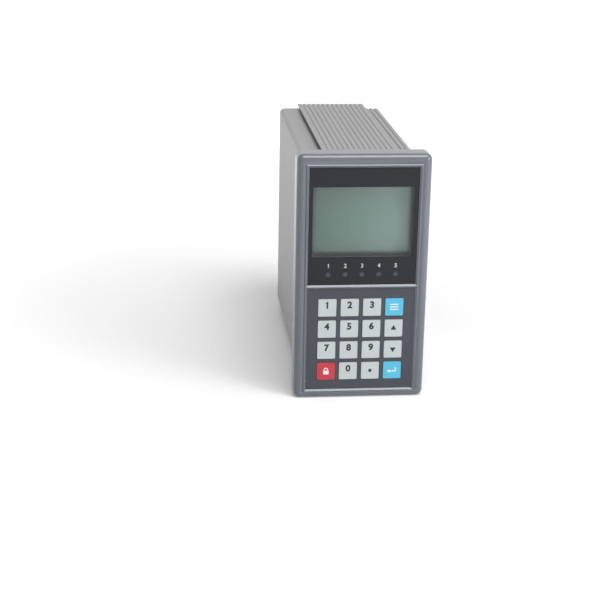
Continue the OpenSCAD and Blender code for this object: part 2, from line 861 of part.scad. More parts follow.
module rear_panel() {
    color(case_grey) placed() difference() {
        translate([0, 0, mid_z]) slab_y(panel_y0, panel_y1) {
            square([case_w - 2 * case_wall - 2 * rear_gap,
                    case_h - 2 * case_wall - 2 * rear_gap], center = true);
            square([2 * band_in - 2 * rear_gap, 2 * band_top - 2 * rear_gap], center = true);
        }
        at_channels() rod_y(screw_bore, panel_y0 - over, panel_y1 + over, 0, 0);
        at_blocks() slab_y(panel_y0 - over, panel_y1 + over)
            translate([board_x - board_t / 2 - header_w - cut_gap, -cut_gap / 2])
                square([header_w + 2 * cut_gap, block_h + cut_gap]);
        translate([0, 0, inlet_z]) slab_y(panel_y0 - over, panel_y1 + over)
            square([inlet_body_w + cut_gap, inlet_body_h + cut_gap], center = true);
        for (x = [-1, 1])
            rod_y(inlet_screw_r + bore_gap, panel_y0 - over, panel_y1 + over,
                  x * inlet_screws_w / 2, inlet_z);
        translate([-switch_out, 0, switch_z]) slab_y(panel_y0 - over, panel_y1 + over)
            square([rocker_body_w + cut_gap, rocker_body_h + cut_gap], center = true);
        rod_y(fuse_body_r + cut_gap / 2, panel_y0 - over, panel_y1 + over,
              switch_out, switch_z);
        translate([0, 0, serial_z]) slab_y(panel_y0 - over, panel_y1 + over)
            dsub_outline(dsub_body_w + cut_gap, dsub_body_h + cut_gap);
        for (z = [-1, 1])
            rod_y(screw_bore, panel_y0 - over, panel_y1 + over,
                  0, serial_z + z * dsub_screws / 2);
        rod_y(stud_r + bore_gap, panel_y0 - over, panel_y1 + over, stud_x, stud_z);
    }
}

module rear_screws() {
    color(steel) placed() at_channels()
        screw_back(0, panel_y1 + head_h, 0, panel_t + screw_in);
}

// Outline of a side board in Y and Z, cut away beside the mains parts
module board_outline(notch) {
    difference() {
        translate([board_y0, mid_z - board_z]) square([board_y1 - board_y0, 2 * board_z]);
        translate([board_y1 - notch, mid_z - board_z - over])
            square([notch + over, notch_z - mid_z + board_z + over]);
    }
}

module main_board() {
    color(board_green) placed()
        slab_x(board_x - board_t / 2, board_x + board_t / 2) board_outline(main_notch);
}

module power_board() {
    color(board_green) placed()
        slab_x(-board_x - board_t / 2, -board_x + board_t / 2) board_outline(power_notch);
}

// Chips on the main board: length along Y, along Z, height, and their places
// as shares of the board's length and height
chip_sizes = [[20, 20, 1.8], [14, 14, 1.6], [13, 8, 1.8], [10, 6, 1.6], [10, 6, 1.6]];
chip_y_shares = [0.3, 0.55, 0.42, 0.66, 0.66];
chip_z_shares = [0.6, 0.72, 0.36, 0.45, 0.55];

module main_chips() {
    face = board_x - board_t / 2;
    color(plastic_black) placed() for (i = [0 : len(chip_sizes) - 1]) {
        s = chip_sizes[i];
        y = board_y0 + chip_y_shares[i] * (board_y1 - board_y0);
        z = mid_z - board_z + chip_z_shares[i] * 2 * board_z;
        span([face - s[2], y - s[0] / 2, z - s[1] / 2], [face, y + s[0] / 2, z + s[1] / 2]);
    }
}

// Screening can over the weigh amplifier
shield_size = [26, 34, 6];
shield_shares = [0.74, 0.8];
module amplifier_shield() {
    face = board_x - board_t / 2;
    y = board_y0 + shield_shares[0] * (board_y1 - board_y0);
    z = mid_z - board_z + shield_shares[1] * 2 * board_z;
    s = shield_size;
    color(steel) placed() difference() {
        span([face - s[2], y - s[0] / 2, z - s[1] / 2], [face, y + s[0] / 2, z + s[1] / 2]);
        span([face - s[2] + sheet, y - s[0] / 2 + sheet, z - s[1] / 2 + sheet],
             [face + over, y + s[0] / 2 - sheet, z + s[1] / 2 - sheet]);
    }
}

// Laminated core: an outline with two windows for the winding
module transformer_core() {
    face = -board_x + board_t / 2;
    x0 = face + trans_foot + transformer_h * (1 - core_share) / 2;
    x1 = x0 + transformer_h * core_share;
    limb = core_len * limb_share;
    slot = (core_len - 2 * limb) / 2 - limb / 2;
    color(steel) placed() {
        slab_x(x0, x1) translate([core_at_y, core_at_z]) difference() {
            square([core_len, core_z], center = true);
            for (s = [-1, 1]) translate([s * (limb / 2 + slot / 2), 0])
                square([slot, core_z - limb], center = true);
        }
        // Feet that stand on the board
        for (y = [-1, 1], z = [-1, 1])
            translate([0, core_at_y + y * (core_len - limb) / 2,
                       core_at_z + z * (core_z - limb) / 2])
                rod_x(limb / 4, face, x0, 0, 0);
    }
}

// Winding round the middle limb
module transformer_winding() {
    face = -board_x + board_t / 2;
    limb = core_len * limb_share;
    slot = (core_len - 2 * limb) / 2 - limb / 2;
    color(copper) placed() slab_x(face + trans_foot, face + trans_foot + transformer_h)
        translate([core_at_y, core_at_z]) difference() {
            square([limb + 2 * slot - 2 * seat, core_z - limb - 2 * seat], center = true);
            square([limb + 2 * seat, core_z], center = true);
        }
    color(copper) placed() for (x = [0, 1])
        slab_x(face + trans_foot + x * (transformer_h + winding_end()) / 2,
               face + trans_foot + x * (transformer_h + winding_end()) / 2
               + (transformer_h - winding_end()) / 2)
            translate([core_at_y, core_at_z])
                square([limb + 3 * seat, core_z - limb - 2 * seat], center = true);
}

// Length of the winding's middle that the core's limb fills
function winding_end() = transformer_h * core_share + 2 * seat;

// Upright filter capacitors on the power board: radius, length, place shares
cap_radii = [8, 8, 5, 5];
cap_lengths = [24, 24, 14, 14];
cap_y_shares = [0.2, 0.2, 0.08, 0.08];
cap_z_shares = [0.6, 0.74, 0.58, 0.68];

module capacitors() {
    face = -board_x + board_t / 2;
    color([0.12, 0.16, 0.3]) placed() for (i = [0 : len(cap_radii) - 1])
        rod_x(cap_radii[i], face, face + cap_lengths[i],
              board_y0 + cap_y_shares[i] * (board_y1 - board_y0),
              mid_z - board_z + cap_z_shares[i] * 2 * board_z);
}

// Finned heat sink of the supply's regulators
sink_l = 34;
sink_w = 20;
sink_h = 22;
sink_base = 3;
fin_count = 6;
fin_wall = 1.4;
sink_y_share = 0.3;
sink_z_share = 0.22;

module regulator_heatsink() {
    face = -board_x + board_t / 2;
    y = board_y0 + sink_y_share * (board_y1 - board_y0);
    z = mid_z - board_z + sink_z_share * 2 * board_z;
    step = (sink_l - fin_wall) / (fin_count - 1);
    color(case_grey) placed() translate([0, y, z]) {
        span([face, -sink_l / 2, -sink_w / 2], [face + sink_h, sink_l / 2, sink_base - sink_w / 2]);
        for (i = [0 : fin_count - 1])
            span([face, -sink_l / 2 + i * step, -sink_w / 2],
                 [face + sink_h, -sink_l / 2 + i * step + fin_wall, sink_w / 2]);
    }
}

// Four relays beside the rear terminals
relay = [15.5, 15, 18.5];
relay_step = 19;
relay_count = floor(terminals_h / relay_step);
relay_y_share = 0.78;

module output_relays() {
    face = -board_x + board_t / 2;
    y = board_y0 + relay_y_share * (board_y1 - board_y0);
    color(key_blue) placed() for (i = [0 : relay_count - 1])
        translate([face, y, case_z0 + terminals_up + relay_step * i])
            cube([relay[0], relay[2], relay[1]]);
}

// Flat cable from the keypad board to the main board
ribbon_t = 1;
ribbon_w = 26;
ribbon_up = 6;
ribbon_out = 4;
socket_t = 4;

module ribbon_cable() {
    y0 = pad_board_y + board_t;
    y1 = board_y0 + 4 * ribbon_out;
    x1 = board_x - board_t / 2;
    z0 = keys_z + ribbon_up;
    color([0.55, 0.55, 0.58]) placed() translate([0, 0, z0]) linear_extrude(ribbon_w) {
        translate([-ribbon_out, y0]) square([2 * ribbon_out, socket_t]);
        translate([-ribbon_t / 2, y0 + socket_t])
            square([ribbon_t, y1 - y0 - socket_t + ribbon_t / 2]);
        translate([-ribbon_t / 2, y1 - ribbon_t / 2])
            square([x1 - socket_t + ribbon_t / 2, ribbon_t]);
        translate([x1 - socket_t, y1 - ribbon_out]) square([socket_t, 2 * ribbon_out]);
    }
}

// Sockets on the boards, open at the rear for the plugs
module terminal_headers() {
    x1 = board_x - board_t / 2;
    x0 = x1 - header_w;
    y0 = panel_y1 - header_len;
    color(plug_green) placed() at_blocks() difference() {
        span([x0, y0, 0], [x1, panel_y1, block_h]);
        span([x0 + header_wall, panel_y1 - pocket_d, header_wall],
             [x1 - header_wall, panel_y1 + over, block_h - header_wall]);
    }
}

// Plugs with a wire entry and a screw well for each pole
module terminal_plugs() {
    x1 = board_x - board_t / 2;
    nose0 = x1 - header_w + header_wall + free_gap;
    nose1 = x1 - header_wall - free_gap;
    color(plug_green) placed() at_blocks() difference() {
        union() {
            span([nose0, panel_y1 - pocket_d + free_gap, header_wall + free_gap],
                 [nose1, panel_y1 + 2 * seat, block_h - header_wall - free_gap]);
            span([plug_in, panel_y1 + seat, 0], [plug_in + plug_w, total_d, block_h]);
        }
        for (i = [0 : pole_count - 1]) translate([0, 0, block_edge + (i + 0.5) * pole_pitch]) {
            span([plug_in + entry_in - entry_w / 2, total_d - entry_d, -entry_h / 2],
                 [plug_in + entry_in + entry_w / 2, total_d + over, entry_h / 2]);
            rod_x(well_r, plug_in + plug_w - well_d, plug_in + plug_w + over,
                  panel_y1 + well_y, 0);
        }
        // Step that thins the plug beyond its screws
        span([plug_in + plug_w - well_d, panel_y1 + well_y + 1.5 * well_r, -over],
             [plug_in + plug_w + over, total_d + over, block_h + over]);
    }
}

module terminal_screws() {
    x1 = plug_in + plug_w - well_d;
    color(steel) placed() at_blocks()
        for (i = [0 : pole_count - 1])
            translate([0, 0, block_edge + (i + 0.5) * pole_pitch]) difference() {
                rod_x(well_r - fit, x1, x1 + well_d * 0.6, panel_y1 + well_y, 0);
                span([x1 + well_d * 0.3, panel_y1 + well_y - well_r, -well_r / 6],
                     [x1 + well_d + over, panel_y1 + well_y + well_r, well_r / 6]);
            }
}

// Nine-way serial socket, standing upright
module serial_connector() {
    color(steel) placed() translate([0, 0, serial_z]) {
        slab_y(panel_y1, panel_y1 + dsub_t) difference() {
            rounded(dsub_h, dsub_w, inner_r);
            for (z = [-1, 1]) translate([0, z * dsub_screws / 2]) circle(screw_bore);
        }
        slab_y(panel_y0 - dsub_deep + panel_t, panel_y1) dsub_outline(dsub_body_w, dsub_body_h);
        difference() {
            slab_y(panel_y1 + dsub_t, panel_y1 + dsub_t + dsub_shell_out)
                dsub_outline(dsub_shell_w, dsub_shell_h);
            for (i = [0 : 4])
                rod_y(dsub_pin_r, panel_y1 + dsub_t + dsub_shell_out - dsub_pin_d,
                      panel_y1 + dsub_t + dsub_shell_out + over,
                      -dsub_row, (i - 2) * dsub_pin_pitch);
            for (i = [0 : 3])
                rod_y(dsub_pin_r, panel_y1 + dsub_t + dsub_shell_out - dsub_pin_d,
                      panel_y1 + dsub_t + dsub_shell_out + over,
                      dsub_row, (i - 1.5) * dsub_pin_pitch);
        }
    }
}

module serial_jackscrews() {
    color(steel) placed() for (z = [-1, 1]) translate([0, 0, serial_z + z * dsub_screws / 2])
        difference() {
            union() {
                hex_y(jack_r, panel_y1 + dsub_t, panel_y1 + dsub_t + jack_len, 0, 0);
                rod_y(screw_r, panel_y0 - jack_len, panel_y1 + dsub_t, 0, 0);
                hex_y(jack_r, panel_y0 - nut_h, panel_y0, 0, 0);
            }
            rod_y(jack_bore, panel_y1 + dsub_t, panel_y1 + dsub_t + jack_len + over, 0, 0);
        }
}

// Mains inlet: flange outside the panel, body behind it, open cavity
module inlet_body() {
    y1 = panel_y1 + inlet_t;
    color(plastic_black) placed() translate([0, 0, inlet_z]) difference() {
        union() {
            slab_y(panel_y1, y1) rounded(inlet_w, inlet_h, inner_r);
            slab_y(y1 - inlet_t - inlet_deep, panel_y1)
                inlet_outline(inlet_body_w, inlet_body_h, inlet_corner);
        }
        slab_y(y1 - inlet_hole_d, y1 + over)
            inlet_outline(inlet_hole_w, inlet_hole_h, inlet_corner);
        for (p = [[-pin_x, -pin_z], [pin_x, -pin_z], [0, pin_z]])
            translate([p[0], 0, p[1]]) slab_y(panel_y1 - inlet_deep - over, y1)
                square([pin_w + 2 * bore_gap, pin_h + 2 * bore_gap], center = true);
        for (x = [-1, 1])
            rod_y(inlet_screw_r + bore_gap, panel_y1 - over, y1 + over,
                  x * inlet_screws_w / 2, 0);
    }
}

module inlet_pins() {
    y1 = panel_y1 + inlet_t - inlet_hole_d + pin_len;
    color(steel) placed() for (p = [[-pin_x, -pin_z], [pin_x, -pin_z], [0, pin_z]])
        translate([p[0], 0, inlet_z + p[1]])
            slab_y(panel_y1 - inlet_deep - tab_len, y1) square([pin_w, pin_h], center = true);
}

module inlet_screws() {
    y1 = panel_y1 + inlet_t;
    color(steel) placed() for (x = [-1, 1])
        translate([x * inlet_screws_w / 2, 0, inlet_z]) {
            difference() {
                rod_y(head_r, y1, y1 + head_h, 0, 0);
                translate([0, y1 + head_h, 0]) rotate([180, 0, 0]) cross_slot(0, 0, 0);
            }
            rod_y(inlet_screw_r, panel_y0 - 2 * nut_h, y1, 0, 0);
            difference() {
                hex_y(nut_r, panel_y0 - nut_h, panel_y0, 0, 0);
                rod_y(inlet_screw_r + bore_gap, panel_y0 - nut_h - over, panel_y0 + over, 0, 0);
            }
        }
}

// Frame of the power switch
module switch_frame() {
    y1 = panel_y1 + rocker_flange_t;
    pivot_y = y1 - rocker_lift;
    color(plastic_black) placed() translate([-switch_out, 0, switch_z]) {
        difference() {
            union() {
                slab_y(panel_y1, y1) rounded(rocker_flange_w, rocker_flange_h, inner_r);
                slab_y(panel_y1 - rocker_deep, panel_y1)
                    square([rocker_body_w, rocker_body_h], center = true);
            }
            slab_y(y1 - rocker_hole_d, y1 + over)
                square([rocker_hole_w, rocker_hole_h], center = true);
            rod_x(rocker_pin_r + bore_gap, -rocker_w / 2 - rocker_pin_in - fit,
                  rocker_w / 2 + rocker_pin_in + fit, pivot_y - rocker_back / 2, 0);
        }
        // Two tabs for the leads
        for (z = [-1, 1]) translate([0, 0, z * rocker_body_h / 4])
            slab_y(panel_y1 - rocker_deep - tab_len, panel_y1 - rocker_deep)
                square([pin_h, pin_w / 2], center = true);
    }
}

// Rocker, drawn with its lower half pressed in
module switch_rocker() {
    y1 = panel_y1 + rocker_flange_t;
    pivot_y = y1 - rocker_lift - rocker_back / 2;
    half = rocker_angle / 2;
    color(plastic_black) placed() translate([-switch_out, pivot_y, switch_z])
        rotate([-half, 0, 0]) {
            slab_x(-rocker_w / 2, rocker_w / 2) intersection() {
                circle(rocker_r);
                polygon([
                    [rocker_rise, 0],
                    [rocker_rise + rocker_r * tan(half), rocker_r],
                    [-rocker_back, rocker_r],
                    [-rocker_back, -rocker_r],
                    [rocker_rise + rocker_r * tan(half), -rocker_r]
                ]);
            }
            rod_x(rocker_pin_r, -rocker_w / 2 - rocker_pin_in,
                  rocker_w / 2 + rocker_pin_in, 0, 0);
        }
}

module fuse_holder() {
    y1 = panel_y1 + fuse_flange_t;
    color(plastic_black) placed() translate([switch_out, 0, switch_z]) difference() {
        union() {
            rod_y(fuse_flange_r, panel_y1, y1, 0, 0);
            rod_y(fuse_body_r, panel_y1 - fuse_body_len, panel_y1, 0, 0);
            hex_y(fuse_nut_r, panel_y0 - fuse_nut_t, panel_y0, 0, 0);
            translate([0, 0, 0]) slab_y(panel_y1 - fuse_body_len - tab_len,
                                        panel_y1 - fuse_body_len)
                square([pin_h, pin_w / 2], center = true);
        }
        rod_y(fuse_bore_r, y1 - fuse_bore_d, y1 + over, 0, 0);
    }
}

// Fluted cap with its slot, and the carrier that grips the fuse
module fuse_cap() {
    y0 = panel_y1 + fuse_flange_t + seat;
    color(plastic_black) placed() translate([switch_out, 0, switch_z]) difference() {
        union() {
            rod_y(cap_r, y0, y0 + cap_len, 0, 0);
            rod_y(fuse_bore_r - bore_gap, y0 - carrier_len, y0, 0, 0);
        }
        rod_y(fuse_r + bore_gap, y0 - carrier_len - over, y0 - carrier_len + fuse_in, 0, 0);
        for (i = [0 : cap_flute_count - 1]) rotate([0, i * 360 / cap_flute_count, 0])
            rod_y(cap_flute_r, y0 - over / 4, y0 + cap_len + over, cap_r, 0);
        span([-cap_r - over, y0 + cap_len - cap_slot_d, -cap_slot_w / 2],
             [cap_r + over, y0 + cap_len + over, cap_slot_w / 2]);
    }
}

module glass_fuse() {
    y1 = panel_y1 + fuse_flange_t + seat - carrier_len + fuse_in - fit;
    color(steel) placed() translate([switch_out, 0, switch_z]) {
        rod_y(fuse_r, y1 - fuse_ferrule, y1, 0, 0);
        rod_y(fuse_r * 0.9, y1 - fuse_len + fuse_ferrule, y1 - fuse_ferrule, 0, 0);
        rod_y(fuse_r, y1 - fuse_len, y1 - fuse_len + fuse_ferrule, 0, 0);
    }
}

// Earth stud with a nut on each side of the panel
module earth_stud() {
    color(steel) placed() translate([stud_x, 0, stud_z]) {
        rod_y(stud_r, panel_y0 - stud_in, panel_y1 + stud_out - stud_nut_t, 0, 0);
        hex_y(stud_nut_r, panel_y1, panel_y1 + stud_nut_t, 0, 0);
        hex_y(stud_nut_r, panel_y0 - stud_nut_t, panel_y0, 0, 0);
    }
}

// Leads from the inlet and the switch to the power board
lead_r = 1.1;
lead_step = 4;

// Lead from a tab that ends at y, forward and then across to the power board
module lead(x, y, z, turn) {
    face = -board_x + board_t / 2;
    rod_y(lead_r, turn, y, x, z);
    translate([x, turn, z]) sphere(lead_r);
    rod_x(lead_r, face, x, turn, z);
}

module mains_leads() {
    y_tab = panel_y1 - inlet_deep - tab_len;
    y_switch = panel_y1 - rocker_deep - tab_len;
    color(key_red) placed() {
        lead(-pin_x, y_tab, inlet_z - pin_z, y_tab - lead_step);
        lead(pin_x, y_tab, inlet_z - pin_z, y_tab - 2 * lead_step);
        lead(-switch_out, y_switch, switch_z + rocker_body_h / 4, y_switch - lead_step);
    }
}

front_bezel();
display_lens();
panel_gasket();
bezel_screws();
lcd_frame();
lcd_glass();
lcd_backlight();
lcd_board();
lcd_screws();
status_lamps();
keypad_overlay();
keypad_board();
keypad_screws();
key_switches();
key(0, 0, key_white);  // key_1
key(1, 0, key_white);  // key_2
key(2, 0, key_white);  // key_3
key(3, 0, key_blue);  // key_menu
key(0, 1, key_white);  // key_4
key(1, 1, key_white);  // key_5
key(2, 1, key_white);  // key_6
key(3, 1, key_white);  // key_up
key(0, 2, key_white);  // key_7
key(1, 2, key_white);  // key_8
key(2, 2, key_white);  // key_9
key(3, 2, key_white);  // key_down
key(0, 3, key_red);  // key_lock
key(1, 3, key_white);  // key_0
key(2, 3, key_white);  // key_f
key(3, 3, key_blue);  // key_enter
case_shell();
side_cover();
rear_panel();
rear_screws();
main_board();
main_chips();
amplifier_shield();
power_board();
transformer_core();
transformer_winding();
capacitors();
regulator_heatsink();
output_relays();
ribbon_cable();
terminal_headers();
terminal_plugs();
terminal_screws();
serial_connector();
serial_jackscrews();
inlet_body();
inlet_pins();
inlet_screws();
switch_frame();
switch_rocker();
fuse_holder();
fuse_cap();
glass_fuse();
earth_stud();
mains_leads();
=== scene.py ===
# %% [markdown]
# # A weigh feeder controller
# The controller is a panel instrument: a deep metal case behind a moulded bezel, with a display
# and sixteen keys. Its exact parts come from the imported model, which is the frame of this scene.
# Everything added here sits on that frame, in metres, and rides on its bodies.

# %% Load the frame
import json
import math

import bpy
from mathutils import Matrix, Vector

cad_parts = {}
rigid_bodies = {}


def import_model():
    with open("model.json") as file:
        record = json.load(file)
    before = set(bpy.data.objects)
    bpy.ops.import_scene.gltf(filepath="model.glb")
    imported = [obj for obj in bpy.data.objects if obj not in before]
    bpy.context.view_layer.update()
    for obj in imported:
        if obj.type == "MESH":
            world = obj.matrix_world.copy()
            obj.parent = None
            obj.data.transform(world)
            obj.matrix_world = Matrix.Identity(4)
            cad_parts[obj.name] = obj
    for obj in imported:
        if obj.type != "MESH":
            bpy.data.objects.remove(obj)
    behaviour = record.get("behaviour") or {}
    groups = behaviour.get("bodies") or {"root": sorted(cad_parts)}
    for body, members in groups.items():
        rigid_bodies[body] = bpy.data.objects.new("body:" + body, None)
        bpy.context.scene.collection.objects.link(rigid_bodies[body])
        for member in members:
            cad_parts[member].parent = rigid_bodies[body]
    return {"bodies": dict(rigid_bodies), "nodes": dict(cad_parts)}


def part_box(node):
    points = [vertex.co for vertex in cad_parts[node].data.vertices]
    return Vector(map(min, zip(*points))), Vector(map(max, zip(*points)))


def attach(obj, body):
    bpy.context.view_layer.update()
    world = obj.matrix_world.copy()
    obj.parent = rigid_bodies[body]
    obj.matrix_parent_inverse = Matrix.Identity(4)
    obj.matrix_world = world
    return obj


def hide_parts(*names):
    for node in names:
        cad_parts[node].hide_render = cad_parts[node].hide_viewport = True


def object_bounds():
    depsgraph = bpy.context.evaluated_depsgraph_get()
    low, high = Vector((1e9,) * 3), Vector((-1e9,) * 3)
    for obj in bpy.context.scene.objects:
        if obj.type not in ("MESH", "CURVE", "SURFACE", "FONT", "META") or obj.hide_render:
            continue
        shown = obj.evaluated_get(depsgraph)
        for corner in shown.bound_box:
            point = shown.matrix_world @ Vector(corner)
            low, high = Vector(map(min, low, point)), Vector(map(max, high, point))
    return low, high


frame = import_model()
cad_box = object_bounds()
MM = 0.001

# %% [markdown]
# ## Colours
# A shader works with linear light, while a colour given below is written in display values.
# A small helper turns one into the other, so that each colour below can be read as it looks.

# %% Turn display values into linear light
WHITE = 255
DARK_END, DARK_SLOPE = 0.04045, 12.92
LIFT, POWER = 0.055, 2.4


def shade(r, g, b):
    def one(value):
        value /= WHITE
        if value <= DARK_END:
            return value / DARK_SLOPE
        return ((value + LIFT) / (1 + LIFT)) ** POWER
    return (one(r), one(g), one(b), 1.0)


print("mid grey:", [round(v, 3) for v in shade(128, 128, 128)])

# %% [markdown]
# ## Steps of a material
# A material is a chain of small steps. Three kinds come back all the time: a sum on numbers, a
# range stretched onto another range, and two colours mixed. Each helper makes one such step and
# gives back its output. A plain number goes straight onto the socket, and an output is linked.


# %% Helpers for sums, ranges, mixes and noise
def calc(tree, operation, *values):
    step = tree.nodes.new("ShaderNodeMath")
    step.operation = operation
    for socket, value in zip(step.inputs, values):
        if isinstance(value, (int, float)):
            socket.default_value = value
        else:
            tree.links.new(value, socket)
    return step.outputs["Value"]


def eased(tree, value, start, end, low=0.0, high=1.0, kind="LINEAR"):
    step = tree.nodes.new("ShaderNodeMapRange")
    step.interpolation_type = kind
    step.inputs["From Min"].default_value = start
    step.inputs["From Max"].default_value = end
    step.inputs["To Min"].default_value = low
    step.inputs["To Max"].default_value = high
    tree.links.new(value, step.inputs["Value"])
    return step.outputs["Result"]


def mixed(tree, kind, factor, first, second):
    step = tree.nodes.new("ShaderNodeMix")
    step.data_type = "RGBA"
    step.blend_type = kind
    for name, value in (("Factor", factor), ("A", first), ("B", second)):
        if isinstance(value, (float, tuple)):
            step.inputs[name].default_value = value
        else:
            tree.links.new(value, step.inputs[name])
    return step.outputs["Result"]


def noise(tree, place, scale, detail):
    step = tree.nodes.new("ShaderNodeTexNoise")
    step.inputs["Scale"].default_value = scale
    step.inputs["Detail"].default_value = detail
    tree.links.new(place, step.inputs["Vector"])
    return step.outputs["Fac"]


print("steps ready")

# %% [markdown]
# ## Grained finishes
# Moulded plastic is never one flat colour: its gloss wanders a little, and a fine spark-eroded
# grain breaks up the reflections. A photograph of plastic could be wrapped round the parts, but
# it would stretch. Noise on object coordinates keeps its real size on every part. Painted and
# anodised sheet is made the same way, with the pattern drawn out along the extrusion.

# %% A material with grain, a slow change of tone and a change of gloss
SLOW_SCALE, SLOW_DETAIL, FINE_DETAIL = 45, 3, 2
TONE_START, TONE_END = 0.25, 0.75
LEAST_ROUGH = 0.02
EDGE_SAMPLES = 8


def grained(name, colour, rough, grain=2500, depth=0.02 * MM, stretch=(1, 1, 1), tone=0.06,
            metal=0.0, gloss=0.06, coat=0.0, edge=0.0, shine=0.5):
    mat = bpy.data.materials.new(name)
    mat.use_nodes = True
    tree = mat.node_tree
    nodes, links = tree.nodes, tree.links
    shader = nodes["Principled BSDF"]
    shader.inputs["Metallic"].default_value = metal
    shader.inputs["Coat Weight"].default_value = coat
    shader.inputs["Specular IOR Level"].default_value = shine
    place = nodes.new("ShaderNodeTexCoord")
    drawn = nodes.new("ShaderNodeMapping")
    drawn.inputs["Scale"].default_value = stretch
    links.new(place.outputs["Object"], drawn.inputs["Vector"])
    slow = noise(tree, drawn.outputs["Vector"], SLOW_SCALE, SLOW_DETAIL)
    fine = noise(tree, drawn.outputs["Vector"], grain, FINE_DETAIL)
    ramp = nodes.new("ShaderNodeValToRGB")
    dark_end, light_end = ramp.color_ramp.elements
    dark_end.position = TONE_START
    light_end.position = TONE_END
    dark_end.color = tuple(v * (1 - tone) for v in colour[:3]) + (1,)
    light_end.color = tuple(min(1, v * (1 + tone)) for v in colour[:3]) + (1,)
    links.new(slow, ramp.inputs["Fac"])
    links.new(ramp.outputs["Color"], shader.inputs["Base Color"])
    spread = eased(tree, fine, 0.0, 1.0, max(LEAST_ROUGH, rough - gloss), min(1, rough + gloss))
    links.new(spread, shader.inputs["Roughness"])
    bump = nodes.new("ShaderNodeBump")
    bump.inputs["Distance"].default_value = depth
    bump.inputs["Strength"].default_value = 1.0
    links.new(fine, bump.inputs["Height"])
    links.new(bump.outputs["Normal"], shader.inputs["Normal"])
    if edge:
        soft = nodes.new("ShaderNodeBevel")
        soft.samples = EDGE_SAMPLES
        soft.inputs["Radius"].default_value = edge
        links.new(soft.outputs["Normal"], bump.inputs["Normal"])
    return mat


bezel_finish = grained("bezel_moulding", shade(97, 102, 111), 0.25, depth=0.001 * MM,
                       tone=0.04, coat=0.25, edge=0.3 * MM)
case_finish = grained("case_paint", shade(146, 146, 146), 0.42, stretch=(1, 0.08, 1),
                      grain=1800, depth=0.01 * MM, tone=0.05, edge=0.25 * MM)
print("large finishes:", bezel_finish.name, case_finish.name)

# %% [markdown]
# The metal pieces differ in how they are made. A screw is bright all round, rolled sheet shows
# faint lines along its rolling direction, and contacts are plated. Rubber and nylon only differ
# from the bezel's plastic in tone and in how dull they are.

# %% Metal, rubber and nylon
panel_finish = grained("rear_panel_anodised", shade(150, 151, 152), 0.45, metal=0.3,
                       stretch=(1, 1, 0.05), grain=3000, depth=0.008 * MM)
screw_finish = grained("zinc_screw", shade(190, 191, 192), 0.3, metal=1.0, grain=4000,
                       depth=0.004 * MM)
tin_finish = grained("tinned_steel", shade(198, 199, 200), 0.28, metal=1.0,
                     stretch=(1, 1, 0.1), grain=2600, depth=0.004 * MM)
brass_finish = grained("plated_brass", shade(205, 178, 116), 0.3, metal=1.0, depth=0.004 * MM)
rubber_finish = grained("gasket_rubber", shade(34, 34, 35), 0.75, grain=1500)
black_finish = grained("black_nylon", shade(32, 32, 34), 0.42, grain=2200)
print("metal, rubber and nylon made: 6")

# %% [markdown]
# ## Circuit boards
# A board is green solder mask over copper tracks. Real tracks could be drawn one by one, but they
# are inside and only glimpsed. They look like a regular maze of short straight runs, so a brick
# texture turned on its side gives them, slightly lighter than the mask.


# %% The board's mask and tracks
def places(tree):
    split = tree.nodes.new("ShaderNodeSeparateXYZ")
    tree.links.new(tree.nodes["Texture Coordinate"].outputs["Object"], split.inputs["Vector"])
    return split.outputs


def bricks(tree, turn, scale, mortar_size, tints):
    laid = tree.nodes.new("ShaderNodeMapping")
    laid.inputs["Rotation"].default_value = turn
    tree.links.new(tree.nodes["Texture Coordinate"].outputs["Object"], laid.inputs["Vector"])
    wall = tree.nodes.new("ShaderNodeTexBrick")
    wall.inputs["Scale"].default_value = scale
    wall.inputs["Mortar Size"].default_value = mortar_size
    for name, tint in zip(("Color1", "Color2", "Mortar"), tints):
        wall.inputs[name].default_value = tint
    tree.links.new(laid.outputs["Vector"], wall.inputs["Vector"])
    return wall


QUARTER = math.pi / 2
TRACK_SCALE, TRACK_WIDTH = 240, 0.035
board_finish = grained("solder_mask", shade(28, 92, 56), 0.35, tone=0.1, depth=0.004 * MM)
board_tree = board_finish.node_tree
tracks = bricks(board_tree, (0, QUARTER, 0), TRACK_SCALE, TRACK_WIDTH,
                (shade(26, 88, 54), shade(34, 104, 62), shade(70, 140, 92)))
board_tree.links.new(tracks.outputs["Color"],
                     board_tree.nodes["Principled BSDF"].inputs["Base Color"])
print("board finish:", board_finish.name)

# %% [markdown]
# ## Display
# The display is a reflective liquid crystal: a grey-green sheet with a faint grid of square dots,
# 128 across and 64 down. It gets slightly lighter towards its right side. Its frame stands in
# front of it and keeps light from its rim, so the face also darkens softly towards three edges.
# All of this is a change of colour over a flat sheet, so it is done in the material.

# %% The display's tone from left to right, and its soft dark edges
EDGE_DARK = 0.3
DOT_PITCH, DOT_GAP = 0.46 * MM, 0.06
SIDE_FADE = (31.3 * MM, 28.4 * MM)
LOW_FADE = (94.2 * MM, 97.4 * MM)
TOP_FADE = (139.4 * MM, 137.0 * MM)


def across_display(tree, place):
    low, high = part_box("lcd_glass")
    ramp = tree.nodes.new("ShaderNodeValToRGB")
    left_end, right_end = ramp.color_ramp.elements
    left_end.color = shade(68, 97, 86)
    right_end.color = shade(114, 142, 135)
    tree.links.new(eased(tree, place["X"], low.x, high.x), ramp.inputs["Fac"])
    return ramp.outputs["Color"]


def display_shadow(tree, place):
    wide = calc(tree, "ABSOLUTE", place["X"])
    fades = []
    for source, (start, end) in ((wide, SIDE_FADE), (place["Z"], LOW_FADE),
                                 (place["Z"], TOP_FADE)):
        fades.append(eased(tree, source, start, end, low=EDGE_DARK, kind="SMOOTHSTEP"))
    lower = calc(tree, "MULTIPLY", fades[0], fades[1])
    return calc(tree, "MULTIPLY", lower, fades[2])


print("display edges from", round(SIDE_FADE[0] / MM, 1), "to", round(SIDE_FADE[1] / MM, 1), "mm")


